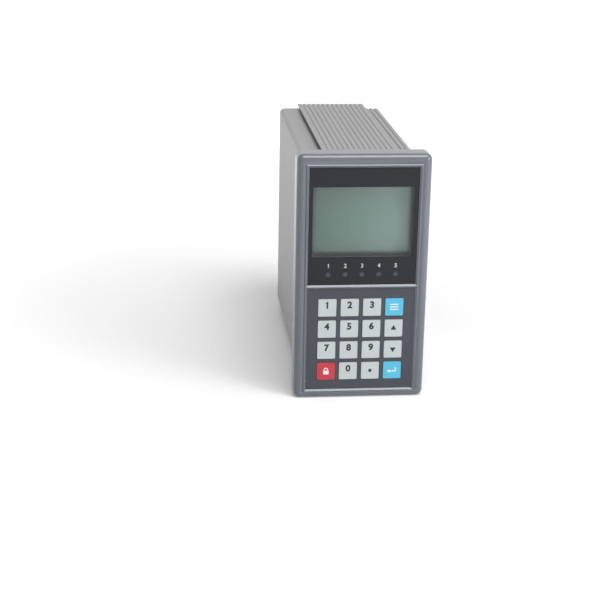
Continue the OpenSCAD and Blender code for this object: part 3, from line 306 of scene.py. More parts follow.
# %% The display's dots, and its finish
def display_dots(tree):
    clear_dot, dot_line = (1, 1, 1, 1), (0.99, 0.99, 0.99, 1)
    grid = bricks(tree, (QUARTER, 0, 0), 1 / DOT_PITCH, DOT_GAP, (clear_dot, clear_dot, dot_line))
    grid.offset = 0.0
    grid.inputs["Brick Width"].default_value = 1.0
    grid.inputs["Row Height"].default_value = 1.0
    return grid.outputs["Color"]


display_finish = grained("display_face", shade(120, 141, 136), 0.3, tone=0.02, grain=900,
                         depth=0.0001 * MM, gloss=0.01)
display_tree = display_finish.node_tree
display_place = places(display_tree)
face_tone = mixed(display_tree, "MULTIPLY", 1.0, across_display(display_tree, display_place),
                  display_dots(display_tree))
face_tone = mixed(display_tree, "MULTIPLY", 1.0, face_tone,
                  display_shadow(display_tree, display_place))
display_tree.links.new(face_tone, display_tree.nodes["Principled BSDF"].inputs["Base Color"])
print("display finish:", display_finish.name)

# %% [markdown]
# ## The rest of the finishes
# The keys and the keypad face are screen-printed film, which is flat and even. A plain colour
# would look like paint from close by, so each keeps a fine grain and a slight change of tone.

# %% Printed film
key_white = grained("key_film_white", shade(187, 194, 195), 0.4, tone=0.03, grain=1600)
key_blue = grained("key_film_blue", shade(80, 182, 216), 0.4, tone=0.04, grain=1600)
key_red = grained("key_film_red", shade(192, 47, 60), 0.4, tone=0.05, grain=1600)
pad_finish = grained("keypad_film", shade(68, 71, 79), 0.42, tone=0.04, grain=1500,
                     depth=0.012 * MM, shine=0.3)
print("films made: 4")

# %% [markdown]
# The terminals are green polyamide, the capacitors have a shrunk sleeve, and the transformer's
# winding is taped copper on a stack of thin iron sheets. The stretch of the grain makes the
# sheets, the turns of tape and the wires of the flat cable, all of which lie side by side.

# %% Electrical pieces
green_finish = grained("terminal_polyamide", shade(48, 122, 74), 0.42)
sleeve_finish = grained("capacitor_sleeve", shade(42, 50, 84), 0.3, tone=0.05)
core_finish = grained("core_laminations", shade(92, 88, 84), 0.55, stretch=(30, 1, 1),
                      grain=500, depth=0.06 * MM, metal=0.4)
winding_finish = grained("winding_tape", shade(196, 154, 62), 0.45, stretch=(6, 1, 1),
                         grain=900, depth=0.04 * MM)
sink_finish = grained("heatsink_black", shade(44, 44, 46), 0.5, metal=0.5)
relay_finish = grained("relay_case", shade(34, 68, 128), 0.35)
ribbon_finish = grained("ribbon_sheath", shade(150, 152, 158), 0.5, stretch=(1, 1, 16),
                        grain=120, depth=0.2 * MM)
lead_finish = grained("lead_sheath", shade(132, 34, 36), 0.5)
lamp_finish = grained("lamp_resin", shade(150, 152, 156), 0.2, tone=0.03)
light_finish = grained("light_guide", shade(222, 226, 222), 0.3, tone=0.02)
print("electrical finishes made: 10")

# %% [markdown]
# The serial socket has a plated shell round a black insert. Both are in one exact part, so its
# material changes from one to the other by place: inside a box in X and Z it is the insert.

# %% Shell and insert of the serial socket
INSERT_X, INSERT_Z = 3.4 * MM, 7.2 * MM
socket_low, socket_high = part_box("serial_connector")
socket_middle = (socket_low + socket_high) / 2
socket_finish = grained("serial_socket", shade(176, 178, 180), 0.3, metal=1.0, depth=0.004 * MM)
socket_tree = socket_finish.node_tree
socket_shader = socket_tree.nodes["Principled BSDF"]
socket_place = places(socket_tree)
within_x = calc(socket_tree, "COMPARE", socket_place["X"], socket_middle.x, INSERT_X)
within_z = calc(socket_tree, "COMPARE", socket_place["Z"], socket_middle.z, INSERT_Z)
insert = calc(socket_tree, "MULTIPLY", within_x, within_z)
socket_tone = mixed(socket_tree, "MIX", insert, socket_tree.nodes["Color Ramp"].outputs["Color"],
                    shade(38, 38, 40))
socket_tree.links.new(socket_tone, socket_shader.inputs["Base Color"])
plated = calc(socket_tree, "SUBTRACT", 1.0, insert)
socket_tree.links.new(plated, socket_shader.inputs["Metallic"])
print("socket:", socket_finish.name)

# %% [markdown]
# Each exact part takes one of these finishes. A part's own mesh isn't touched: only its
# material slots change. The thirteen pale keys aren't listed, since white film is what remains.

# %% Give every exact part its finish
parts_in = {
    bezel_finish: ["front_bezel"],
    rubber_finish: ["panel_gasket"],
    display_finish: ["lcd_glass"],
    light_finish: ["lcd_backlight"],
    lamp_finish: ["status_lamps"],
    pad_finish: ["keypad_overlay"],
    panel_finish: ["rear_panel"],
    case_finish: ["case_shell", "side_cover"],
    board_finish: ["lcd_board", "keypad_board", "main_board", "power_board"],
    black_finish: ["lcd_frame", "display_lens", "key_switches", "main_chips", "inlet_body",
                   "switch_frame", "switch_rocker", "fuse_holder", "fuse_cap"],
    screw_finish: ["bezel_screws", "lcd_screws", "keypad_screws", "rear_screws",
                   "terminal_screws", "serial_jackscrews", "inlet_screws"],
    tin_finish: ["amplifier_shield", "glass_fuse"],
    brass_finish: ["inlet_pins", "earth_stud"],
    core_finish: ["transformer_core"],
    winding_finish: ["transformer_winding"],
    sleeve_finish: ["capacitors"],
    sink_finish: ["regulator_heatsink"],
    relay_finish: ["output_relays"],
    ribbon_finish: ["ribbon_cable"],
    green_finish: ["terminal_headers", "terminal_plugs"],
    socket_finish: ["serial_connector"],
    lead_finish: ["mains_leads"],
    key_blue: ["key_menu", "key_enter"],
    key_red: ["key_lock"],
}
finish_of = {name: finish for finish, names in parts_in.items() for name in names}
for name, part in frame["nodes"].items():
    for held in part.material_slots:
        held.material = finish_of.get(name, key_white)
print("parts dressed:", len(frame["nodes"]), "of which by name:", len(finish_of))

# %% [markdown]
# ## Modelling by hand
# New pieces start as a primitive at its real size. Faces or edges are then picked by where they
# are, and shaped in edit mode. An operator acts on all that is selected, so everything else is
# deselected first. When a piece is done, its place is moved into its mesh.


# %% Helpers for adding a block and for picking its faces and edges
def alone(piece):
    bpy.ops.object.select_all(action="DESELECT")
    piece.select_set(True)
    bpy.context.view_layer.objects.active = piece


def settled(name):
    piece = bpy.context.object
    piece.name = name
    bpy.ops.object.transform_apply(location=True, rotation=True, scale=True)
    return piece


def block(name, low, high):
    low, high = Vector(low), Vector(high)
    bpy.ops.object.select_all(action="DESELECT")
    bpy.ops.mesh.primitive_cube_add(size=1, location=(low + high) / 2)
    bpy.context.object.scale = high - low
    return settled(name)


def pick_none(piece):
    bpy.ops.object.mode_set(mode="OBJECT")
    for items in (piece.data.vertices, piece.data.edges, piece.data.polygons):
        for item in items:
            item.select = False


SQUARE_ON = 0.99


def pick_faces(piece, wanted):
    pick_none(piece)
    for face in piece.data.polygons:
        face.select = wanted(face)
    bpy.context.tool_settings.mesh_select_mode = (False, False, True)
    bpy.ops.object.mode_set(mode="EDIT")


def pick_edges(piece, wanted):
    pick_none(piece)
    corners = piece.data.vertices
    for edge in piece.data.edges:
        edge.select = wanted(*(corners[i].co for i in edge.vertices))
    bpy.context.tool_settings.mesh_select_mode = (False, True, False)
    bpy.ops.object.mode_set(mode="EDIT")


print("picking ready")


# %% Helpers for copying and for handing a piece over
def copied(piece, name, shift):
    alone(piece)
    bpy.ops.object.duplicate(linked=False)
    bpy.context.object.location = shift
    return settled(name)


def done(piece, body, finish):
    if piece.mode == "EDIT":
        bpy.ops.object.mode_set(mode="OBJECT")
    alone(piece)
    bpy.ops.object.transform_apply(location=True, rotation=True, scale=True)
    if not piece.data.materials:
        piece.data.materials.append(finish)
    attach(piece, body)


print("copying ready")

# %% [markdown]
# ## Bezel
# The bezel is one moulding with ball corners. Its border is slightly dished, and a low bead runs
# round the mouth of the recesses. The exact bezel has its sizes but not these soft forms, so it
# is made again in the same box. It starts as a block. Bevelling the front edges together with
# the four corner edges, all by the same amount, gives the ball corners.

# %% Block with ball corners
REAR_BAND = 1.0 * MM
CORNER_STEPS = 10
bezel_low, bezel_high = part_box("front_bezel")
face_y, back_y = bezel_low.y, bezel_high.y
round_r = 4.0 * MM
bezel = block("bezel", bezel_low, bezel_high)
pick_edges(bezel, lambda a, b: min(a.y, b.y) < back_y - REAR_BAND)
bpy.ops.mesh.bevel(offset=round_r, segments=CORNER_STEPS, profile=0.5, affect="EDGES")
bpy.ops.object.mode_set(mode="OBJECT")
print("bezel faces:", len(bezel.data.polygons))

# %% [markdown]
# Each inset adds a ring inside the front face. The new inner face is then brought to its place:
# three rings go down to the floor of the dish, and three come back up to the crest of the bead.
# The dish could be carved with a curved tool, but rings keep the faces in neat rows, which
# gives clean reflections.

# %% Helper that adds a ring and brings it to its place
FIRST_INSET = 0.1 * MM


def ring_to(piece, half_x, low_z, high_z, y):
    bpy.ops.mesh.inset(thickness=FIRST_INSET)
    bpy.ops.object.mode_set(mode="OBJECT")
    points = [v.co.copy() for v in piece.data.vertices if v.select]
    bpy.ops.object.mode_set(mode="EDIT")
    low = Vector([min(p[i] for p in points) for i in range(3)])
    high = Vector([max(p[i] for p in points) for i in range(3)])
    middle = (low + high) / 2
    bpy.ops.transform.resize(
        value=(2 * half_x / (high.x - low.x), 1, (high_z - low_z) / (high.z - low.z)),
        center_override=middle)
    bpy.ops.transform.translate(
        value=(-middle.x, y - middle.y, (low_z + high_z) / 2 - middle.z))


def between(start, end, part):
    return [a + (b - a) * part for a, b in zip(start, end)]


print("halfway from 0 to 1 mm:", between([0], [1 * MM], 0.5), "m")

# %% [markdown]
# A ring is given by its half width and its lower and upper edge. Three such outlines matter: the
# end of the rounding, the foot of the bead, and the mouth. Each ring in between is named by how
# far it is on the way, and by how deep it lies as a part of the dish.

# %% Dish and bead
GAP = 0.1 * MM
DISH_DEEP = 0.6 * MM
BEAD_WIDE, BEAD_LOW = 1.1 * MM, 0.3 * MM
FRONT_AREA = 0.005
DISH_RINGS = ((0.35, 0.2), (0.7, 0.7), (1.0, 1.0))
BEAD_RINGS = ((0.15, 0.85), (0.5, 0.15), (0.65, 0.0))
lens_low, lens_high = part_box("display_lens")
pad_low, pad_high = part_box("keypad_overlay")
lip = lens_low.y - face_y
flat = (bezel_high.x - round_r, bezel_low.z + round_r, bezel_high.z - round_r)
mouth = (lens_high.x + GAP + lip, pad_low.z - GAP - lip, lens_high.z + GAP + lip)
foot = (mouth[0] + BEAD_WIDE, mouth[1] - BEAD_LOW, mouth[2] + BEAD_WIDE)
pick_faces(bezel, lambda f: f.normal.y < -SQUARE_ON and f.area > FRONT_AREA)
for part, deep in DISH_RINGS:
    ring_to(bezel, *between(flat, foot, part), face_y + DISH_DEEP * deep)
for part, deep in BEAD_RINGS:
    ring_to(bezel, *between(foot, mouth, part), face_y + DISH_DEEP * deep)
bpy.ops.object.mode_set(mode="OBJECT")
print("mouth:", round(2 * mouth[0] / MM, 1), "by", round((mouth[2] - mouth[1]) / MM, 1), "mm")

# %% [markdown]
# The hollows are cut with plain tools, as a mould maker would: first the room behind the face,
# then bosses and the window's rim are added, then the recesses, the window and the holes are cut.
# Tools of one step are joined, so that each step is one boolean.

# %% Helpers for a round tool, and for cutting with joined tools
ROD_SIDES = 40


def rod(name, x, z, radius, low_y, high_y):
    bpy.ops.object.select_all(action="DESELECT")
    bpy.ops.mesh.primitive_cylinder_add(
        vertices=ROD_SIDES, radius=radius, depth=high_y - low_y,
        location=(x, (low_y + high_y) / 2, z), rotation=(QUARTER, 0, 0))
    return settled(name)


def combine(piece, tools, operation):
    alone(tools[0])
    for tool in tools:
        tool.select_set(True)
    bpy.ops.object.join()
    tool = bpy.context.object
    step = piece.modifiers.new("tools", "BOOLEAN")
    step.operation = operation
    step.solver = "EXACT"
    step.use_self = True
    step.object = tool
    alone(piece)
    bpy.ops.object.modifier_apply(modifier=step.name)
    bpy.data.objects.remove(tool, do_unlink=True)


print("tools ready")

# %% [markdown]
# The room is deeper behind the keypad than behind the lens, because the lens is the thicker of
# the two, and a step joins their floors. In height the room stays inside the case's outline, so
# that the case has a solid border of the bezel to stand against.

# %% Room behind the face
FLOOR_T = 2.0 * MM
CAVITY_X, CAVITY_IN = 34.8 * MM, 5.7 * MM
OVER = 1.0 * MM
case_low, case_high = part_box("side_cover")
cavity_low, cavity_high = case_low.z + CAVITY_IN, case_high.z - CAVITY_IN
lens_back, pad_back = lens_high.y + FLOOR_T, pad_high.y + FLOOR_T
divide_z = (lens_low.z + pad_high.z) / 2
combine(bezel, [
    block("room_lens", (-CAVITY_X, lens_back, divide_z), (CAVITY_X, back_y + OVER, cavity_high)),
    block("room_pad", (-CAVITY_X, pad_back, cavity_low), (CAVITY_X, back_y + OVER, divide_z)),
], "DIFFERENCE")
print("room:", round(2 * CAVITY_X / MM, 1), "mm wide,", len(bezel.data.polygons), "faces")

# %% [markdown]
# Four screws hold the bezel, each in a boss. One boss is made, and its copies go to the other
# three places. A rim behind the window stiffens the thin floor.

# %% Bosses, the step and the window's rim
STEP_HALF = 1.0 * MM
RIM_X, RIM_LOW, RIM_HIGH, RIM_DEEP = 33.3 * MM, 92.3 * MM, 140.7 * MM, 2.6 * MM
SCREW_X, SCREW_LOW, SCREW_HIGH = 31.8 * MM, 11.2 * MM, 148.8 * MM
BOSS_R = 3.0 * MM


def at_screws(first):
    others = [(0, SCREW_HIGH - SCREW_LOW), (2 * SCREW_X, 0), (2 * SCREW_X, SCREW_HIGH - SCREW_LOW)]
    return [first] + [copied(first, first.name, (x, 0, z)) for x, z in others]


step_bar = block("step", (-CAVITY_X - OVER, pad_back - OVER, divide_z - STEP_HALF),
                 (CAVITY_X + OVER, lens_back, divide_z + STEP_HALF))
rim = block("rim", (-RIM_X, lens_back - OVER, RIM_LOW), (RIM_X, lens_back + RIM_DEEP, RIM_HIGH))
bosses = at_screws(rod("boss", -SCREW_X, SCREW_LOW, BOSS_R, pad_back - OVER, back_y))
combine(bezel, [step_bar, rim] + bosses, "UNION")
print("bezel after bosses:", len(bezel.data.polygons), "faces")

# %% [markdown]
# The lens and the keypad face lie in two recesses. The walls of a recess lean outwards in front
# of the lens, as a lip. So the tool is a block whose front face is drawn out and widened by the
# same amount, which makes the lip's slope 45 degrees.


# %% Recesses for the lens and the keypad face
def recess(name, low_z, high_z, floor_y):
    half = mouth[0] - lip
    reach = lip + OVER
    wide, tall = 2 * half, high_z - low_z
    tool = block(name, (-half, face_y + lip, low_z), (half, floor_y, high_z))
    pick_faces(tool, lambda f: f.normal.y < -SQUARE_ON)
    bpy.ops.mesh.extrude_region_move(TRANSFORM_OT_translate={"value": (0, -reach, 0)})
    bpy.ops.transform.resize(value=((wide + 2 * reach) / wide, 1, (tall + 2 * reach) / tall),
                             center_override=(0, face_y - OVER, (low_z + high_z) / 2))
    bpy.ops.object.mode_set(mode="OBJECT")
    return tool


combine(bezel, [
    recess("lens_recess", lens_low.z - GAP, lens_high.z + GAP, lens_high.y),
    recess("pad_recess", pad_low.z - GAP, pad_high.z + GAP, pad_high.y),
], "DIFFERENCE")
print("lip:", round(lip / MM, 2), "mm,", len(bezel.data.polygons), "faces")

# %% [markdown]
# The window lets the display be seen, and each key has its own square hole. The holes are equal,
# so one is made round the first key and copied to the places of the others.

# %% Window and key holes
WINDOW_X, WINDOW_LOW, WINDOW_HIGH = 32.7 * MM, 92.9 * MM, 139.5 * MM
KEY_GAP = 0.3 * MM
window = block("window", (-WINDOW_X, lens_high.y - OVER, WINDOW_LOW),
               (WINDOW_X, back_y, WINDOW_HIGH))
key_names = [name for name in frame["bodies"] if name.startswith("key_")]
low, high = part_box(key_names[0])
hole = block("hole", (low.x - KEY_GAP, pad_high.y - OVER, low.z - KEY_GAP),
             (high.x + KEY_GAP, pad_back + OVER, high.z + KEY_GAP))
holes = [window, hole]
for name in key_names[1:]:
    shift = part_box(name)[0] - low
    holes.append(copied(hole, "hole", (shift.x, 0, shift.z)))
combine(bezel, holes, "DIFFERENCE")
print("key holes:", len(key_names))

# %% [markdown]
# Behind the lens are five bores for the lamps. Each screw has a pocket for its head, and a bore
# through its boss. The two lower heads lie behind the keypad face, the upper two behind the lens.

# %% Lamp bores, head pockets and screw bores
LAMP_COUNT, LAMP_R = 5, 1.5 * MM
HEAD_GAP, HEAD_DEEP = 0.2 * MM, 2.6 * MM
BORE_R = 1.6 * MM
lamp_low, lamp_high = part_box("status_lamps")
lamp_x = lamp_low.x + LAMP_R
lamp_z = (lamp_low.z + lamp_high.z) / 2
lamp_step = (lamp_high.x - lamp_low.x - 2 * LAMP_R) / (LAMP_COUNT - 1)
lamp_bore = rod("lamp_bore", lamp_x, lamp_z, LAMP_R + GAP, lens_high.y - OVER, lens_back + OVER)
bores = [lamp_bore]
for n in range(1, LAMP_COUNT):
    bores.append(copied(lamp_bore, "lamp_bore", (n * lamp_step, 0, 0)))
head_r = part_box("bezel_screws")[1].x - SCREW_X + HEAD_GAP
for z, seat_y in ((SCREW_LOW, pad_high.y), (SCREW_HIGH, lens_high.y)):
    head = rod("head", -SCREW_X, z, head_r, seat_y - OVER, seat_y + HEAD_DEEP)
    bores += [head, copied(head, "head", (2 * SCREW_X, 0, 0))]
bores += at_screws(rod("bore", -SCREW_X, SCREW_LOW, BORE_R, lens_high.y - OVER, back_y + OVER))
combine(bezel, bores, "DIFFERENCE")
print("bores:", len(bores))

# %% [markdown]
# Last, the rounded faces are shaded smooth up to 30 degrees. Weighted normals let the large flat
# faces lead, so that the border stays flat and only the rounding shades softly.

# %% Smooth shading, and the bezel in place
SMOOTH_TO = math.radians(30)
bpy.ops.object.shade_smooth_by_angle(angle=SMOOTH_TO)
even = bezel.modifiers.new("even", "WEIGHTED_NORMAL")
even.keep_sharp = True
alone(bezel)
bpy.ops.object.modifier_apply(modifier=even.name)
done(bezel, "housing", bezel_finish)
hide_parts("front_bezel")
print("bezel:", len(bezel.data.polygons), "faces,", [round(v, 4) for v in bezel.dimensions])

# %% [markdown]
# ## Lens
# The lens is one clear plate. Its back is printed dark except for the window, so the display can
# be seen some way behind it. Five spots in the print are thin enough to let the lamps through.
# The spots could be holes, but on the real lens they are print as well, so the material makes
# them: X is wrapped into one lamp's pitch, and the distance from its middle gives a round spot.

# %% The dark print with its five lamp spots
SPOT_RIM, SPOT_CORE = 2.0 * MM, 0.9 * MM
mask_finish = grained("lens_mask", shade(26, 28, 33), 0.2, tone=0.05, depth=0.001 * MM,
                      shine=0.25)
mask_tree = mask_finish.node_tree
mask_place = places(mask_tree)
beside = calc(mask_tree, "WRAP", mask_place["X"], lamp_step / 2, -lamp_step / 2)
above = calc(mask_tree, "SUBTRACT", mask_place["Z"], lamp_z)
offset = mask_tree.nodes.new("ShaderNodeCombineXYZ")
mask_tree.links.new(beside, offset.inputs["X"])
mask_tree.links.new(above, offset.inputs["Y"])
reach = mask_tree.nodes.new("ShaderNodeVectorMath")
reach.operation = "LENGTH"
mask_tree.links.new(offset.outputs["Vector"], reach.inputs[0])
spot = eased(mask_tree, reach.outputs["Value"], SPOT_RIM, SPOT_CORE, kind="SMOOTHSTEP")
side_x = calc(mask_tree, "ABSOLUTE", mask_place["X"])
in_row = calc(mask_tree, "LESS_THAN", side_x, LAMP_COUNT / 2 * lamp_step)
mask_tone = mixed(mask_tree, "MIX", calc(mask_tree, "MULTIPLY", spot, in_row),
                  mask_tree.nodes["Color Ramp"].outputs["Color"], shade(66, 68, 73))
mask_tree.links.new(mask_tone, mask_tree.nodes["Principled BSDF"].inputs["Base Color"])
print("mask:", mask_finish.name, "lamp pitch", round(lamp_step / MM, 2), "mm")

# %% [markdown]
# The clear window is a second material on the same plate. A ring inset into the front and the
# back face divides each into the dark border and the window. The front edges get a fine bevel, as
# a cut and polished plate has.

# %% The lens with its printed border
VIEW_X, VIEW_LOW, VIEW_HIGH = 32.0 * MM, 93.9 * MM, 139.3 * MM
LENS_EDGE = 0.2 * MM
NEAR = 0.1 * MM
clear = bpy.data.materials.new("clear_window")
clear.use_nodes = True
clear_shader = clear.node_tree.nodes["Principled BSDF"]
clear_shader.inputs["Base Color"].default_value = (0.5, 0.52, 0.53, 1)
clear_shader.inputs["Roughness"].default_value = 0.05
clear_shader.inputs["Alpha"].default_value = 0.05
lens = block("lens_plate", lens_low, lens_high)
pick_edges(lens, lambda a, b: max(a.y, b.y) < lens_low.y + NEAR)
bpy.ops.mesh.bevel(offset=LENS_EDGE, segments=2, affect="EDGES")
for side, y in ((-1, lens_low.y), (1, lens_high.y)):
    pick_faces(lens, lambda f: f.normal.y * side > SQUARE_ON)
    ring_to(lens, VIEW_X, VIEW_LOW, VIEW_HIGH, y)
bpy.ops.object.mode_set(mode="OBJECT")
lens.data.materials.append(mask_finish)
lens.data.materials.append(clear)
for face in lens.data.polygons:
    in_view = VIEW_LOW < face.center.z < VIEW_HIGH and abs(face.center.x) < NEAR
    if in_view and abs(face.normal.y) > SQUARE_ON:
        face.material_index = 1
done(lens, "housing", mask_finish)
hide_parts("display_lens")
print("lens faces:", len(lens.data.polygons), "clear:",
      sum(f.material_index for f in lens.data.polygons))

# %% [markdown]
# ## Lettering
# Printed digits are a few hundredths of a millimetre thick. They could be a picture on the key,
# but geometry stays sharp from close by. A text object is turned upright and pressed flat. Its
# bevel is what makes the strokes bold. Then it is made a mesh, its seams are merged, and its
# place is applied, so that it can ride on the key it is printed on.

# %% Helper for printed digits
INK_T, INK_FLAT = 0.01 * MM, 0.15
MERGE = 0.001 * MM


def digits(name, text, size, place, body, ink, bold, facing=-1):
    bpy.ops.object.select_all(action="DESELECT")
    turn = (QUARTER, 0, 0 if facing < 0 else math.pi)
    bpy.ops.object.text_add(location=place, rotation=turn)
    piece = bpy.context.object
    piece.name = name
    piece.data.body = text
    piece.data.size = size
    piece.data.extrude = INK_T
    piece.data.bevel_depth = bold
    piece.data.bevel_resolution = 1
    piece.data.align_x = "CENTER"
    piece.data.align_y = "CENTER"
    piece.scale = (1, 1, INK_FLAT)
    alone(piece)
    bpy.ops.object.convert(target="MESH")
    bpy.ops.object.mode_set(mode="EDIT")
    bpy.ops.mesh.select_all(action="SELECT")
    bpy.ops.mesh.remove_doubles(threshold=MERGE)
    bpy.ops.mesh.dissolve_degenerate(threshold=MERGE)
    done(bpy.context.object, body, ink)


dark_ink = grained("dark_ink", shade(30, 32, 36), 0.5, tone=0.08)
lamp_ink = grained("lamp_ink", shade(190, 192, 195), 0.5, tone=0.03)
white_ink = grained("white_ink", shade(226, 228, 230), 0.5, tone=0.03)
print("inks ready")

# %% [markdown]
# Other marks are plain shapes: bars and triangles. Printed corners are never quite sharp, so the
# short edges through the ink are bevelled. The helper picks them by their direction.

# %% Helpers for bars and triangles
ALONG = 0.9
MARK_STEPS = 4
WEDGE_CORNER = 0.12
MARK_PROUD, MARK_SUNK = 0.03 * MM, 0.05 * MM


def soften(piece, offset, axis=1):
    pick_edges(piece, lambda a, b: abs(a[axis] - b[axis]) > ALONG * (a - b).length)
    bpy.ops.mesh.bevel(offset=offset, segments=MARK_STEPS, affect="EDGES")
    bpy.ops.object.mode_set(mode="OBJECT")


def key_spot(body, x=0.0, z=0.0):
    low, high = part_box(body)
    return Vector(((low.x + high.x) / 2 + x, low.y, (low.z + high.z) / 2 + z))


def bar(name, middle, wide, high, front, rear):
    low = middle - Vector((wide / 2, front, high / 2))
    return block(name, low, low + Vector((wide, front + rear, high)))


def wedge(name, place, radius, turn, body, ink, thick):
    bpy.ops.object.select_all(action="DESELECT")
    bpy.ops.mesh.primitive_cylinder_add(vertices=3, radius=radius, depth=2 * thick,
                                        location=place, rotation=(QUARTER, turn, 0))
    piece = settled(name)
    soften(piece, radius * WEDGE_CORNER)
    done(piece, body, ink)


print("key 1 is printed at", [round(v, 4) for v in key_spot("key_1")])

# %% [markdown]
# The digits sit in the upper part of their keys. The figure 1 of this typeface is a bare stroke,
# so it gets a small flag.

# %% Digits on the keys
DIGIT_SIZE, DIGIT_UP, DIGIT_BOLD = 5.9 * MM, 1.5 * MM, 0.28 * MM
for n in range(10):
    digits(f"digit_{n}", str(n), DIGIT_SIZE, key_spot(f"key_{n}", z=DIGIT_UP),
           f"key_{n}", dark_ink, bold=DIGIT_BOLD)
wedge("digit_1_flag", key_spot("key_1", x=-0.5 * MM, z=2.95 * MM), 0.75 * MM, -QUARTER,
      "key_1", dark_ink, thick=0.15 * MM)
print("digits printed: 10")

# %% [markdown]
# ## Arrows
# The two arrow keys carry a plain triangle each. It could be an extruded outline, but a cylinder
# with three sides, laid flat on the key, is one already. Its corners are rounded as the bars' are.

# %% Arrow marks
ARROW_R = 2.2 * MM
wedge("mark_up", key_spot("key_up"), ARROW_R, 0, "key_up", dark_ink, thick=0.02 * MM)
wedge("mark_down", key_spot("key_down"), ARROW_R, math.pi, "key_down", dark_ink,
      thick=0.02 * MM)
print("arrows printed: 2")

# %% [markdown]
# ## Marks on the other keys
# Three coloured keys carry generic marks in white: three bars for a list, a bent arrow for enter
# and a small padlock. The bars of a mark are laid side by side and never over each other, because
# two faces in one plane would flicker.

# %% List and enter marks
MARK_CORNER = 0.14 * MM
LIST_STEP = 1.7 * MM


def mark_bar(name, body, x, z, wide, high):
    piece = bar(name, key_spot(body, x * MM, z * MM), wide * MM, high * MM,
                front=MARK_PROUD, rear=MARK_SUNK)
    soften(piece, MARK_CORNER)
    return piece


list_bars = [mark_bar("mark_list_0", "key_menu", x=0, z=-1.7, wide=5.4, high=0.75)]
for row in (1, 2):
    list_bars.append(copied(list_bars[0], f"mark_list_{row}", (0, 0, row * LIST_STEP)))
for piece in list_bars:
    done(piece, "key_menu", white_ink)
done(mark_bar("mark_enter_run", "key_enter", x=0.625, z=-0.7, wide=3.95, high=0.75),
     "key_enter", white_ink)
done(mark_bar("mark_enter_stem", "key_enter", x=2.25, z=0.75, wide=0.7, high=2.15),
     "key_enter", white_ink)
wedge("mark_enter_head", key_spot("key_enter", x=-2.0 * MM, z=-0.7 * MM), 1.4 * MM, -QUARTER,
      "key_enter", white_ink, thick=0.03 * MM)
print("list bars:", len(list_bars))

# %% [markdown]
# The padlock's shackle is a flattened ring. Only its upper part shows above the body, so it is cut
# there, and the cut is closed.

# %% Padlock mark
RING_R, RING_STEPS, RING_SIDES, RING_FLAT = 0.3 * MM, 32, 8, 0.12
SHACKLE_R, SHACKLE_UP, SHACKLE_CUT = 1.15 * MM, 0.9 * MM, 0.45 * MM


def ring(name, radius, place, turn):
    bpy.ops.object.select_all(action="DESELECT")
    bpy.ops.mesh.primitive_torus_add(
        major_radius=radius, minor_radius=RING_R, major_segments=RING_STEPS,
        minor_segments=RING_SIDES, location=place, rotation=turn)
    bpy.context.object.scale = (1, 1, RING_FLAT)
    return settled(name)


done(mark_bar("mark_lock_body", "key_lock", x=0, z=-0.9, wide=3.6, high=2.6),
     "key_lock", white_ink)
shackle = ring("mark_lock_shackle", SHACKLE_R, key_spot("key_lock", z=SHACKLE_UP),
               (QUARTER, 0, 0))
bpy.ops.object.mode_set(mode="EDIT")
bpy.ops.mesh.select_all(action="SELECT")
bpy.ops.mesh.bisect(plane_co=key_spot("key_lock", z=SHACKLE_CUT), plane_no=(0, 0, 1),
                    use_fill=True, clear_inner=True)
done(shackle, "key_lock", white_ink)
print("padlock printed")

# %% [markdown]
# The function key gets a plain dot. It is a short cylinder with a slightly raised middle.

# %% Dot on the function key
DOT_R, DOT_SIDES, DOT_THICK = 1.1 * MM, 32, 0.06 * MM
DOT_INSET, DOT_RISE = 0.15 * MM, 0.01 * MM
bpy.ops.object.select_all(action="DESELECT")
bpy.ops.mesh.primitive_cylinder_add(vertices=DOT_SIDES, radius=DOT_R, depth=DOT_THICK,
                                    location=key_spot("key_f"), rotation=(QUARTER, 0, 0))
dot = settled("mark_function")
pick_faces(dot, lambda f: f.normal.y < -SQUARE_ON)
bpy.ops.mesh.inset(thickness=DOT_INSET)
bpy.ops.transform.translate(value=(0, -DOT_RISE, 0))
done(dot, "key_f", dark_ink)
print("dot:", round(2 * DOT_R / MM, 1), "mm across")

# %% [markdown]
# Each lamp has a plain number over it, in a greyer ink than the keys' marks.

# %% Numbers over the lamps
LAMP_DIGIT, LAMP_DIGIT_UP = 3.7 * MM, 5.6 * MM
for n in range(LAMP_COUNT):
    digits(f"lamp_number_{n + 1}", str(n + 1), LAMP_DIGIT,
           (lamp_x + n * lamp_step, lens_low.y, lamp_z + LAMP_DIGIT_UP),
           "housing", lamp_ink, bold=0.08 * MM)
print("lamp numbers:", LAMP_COUNT)

# %% [markdown]
# ## Printing on the rear
# The terminals are numbered on the panel beside them. Their heights are read from the clamping
# screws: the corners of a screw lie close together, and a wider gap in height starts the next one.

# %% Numbers beside the terminals
SCREW_APART = 0.7 * MM
NUMBER_SIZE, NUMBER_X = 2.6 * MM, 24.3 * MM
heights = sorted(v.co.z for v in frame["nodes"]["terminal_screws"].data.vertices)
groups = [[heights[0]]]
for z in heights[1:]:
    if z - groups[-1][-1] > SCREW_APART:
        groups.append([])
    groups[-1].append(z)
rows = [(g[0] + g[-1]) / 2 for g in groups]
panel_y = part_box("rear_panel")[1].y
number = 0
for side in (1, -1):
    for z in reversed(rows):
        number += 1
        digits(f"terminal_number_{number}", str(number), NUMBER_SIZE,
               (side * NUMBER_X, panel_y, z), "housing", dark_ink,
               facing=1, bold=0.05 * MM)
print("terminals numbered:", number, "in rows of", len(rows))

# %% [markdown]
# The rocker carries a bar for on and a ring for off, and its face is tilted. The tilt could be
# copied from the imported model's sizes, but a ray from behind finds the face and its direction
# wherever it is. Half of each mark's thickness lies inside the rocker, so no gap can show below.

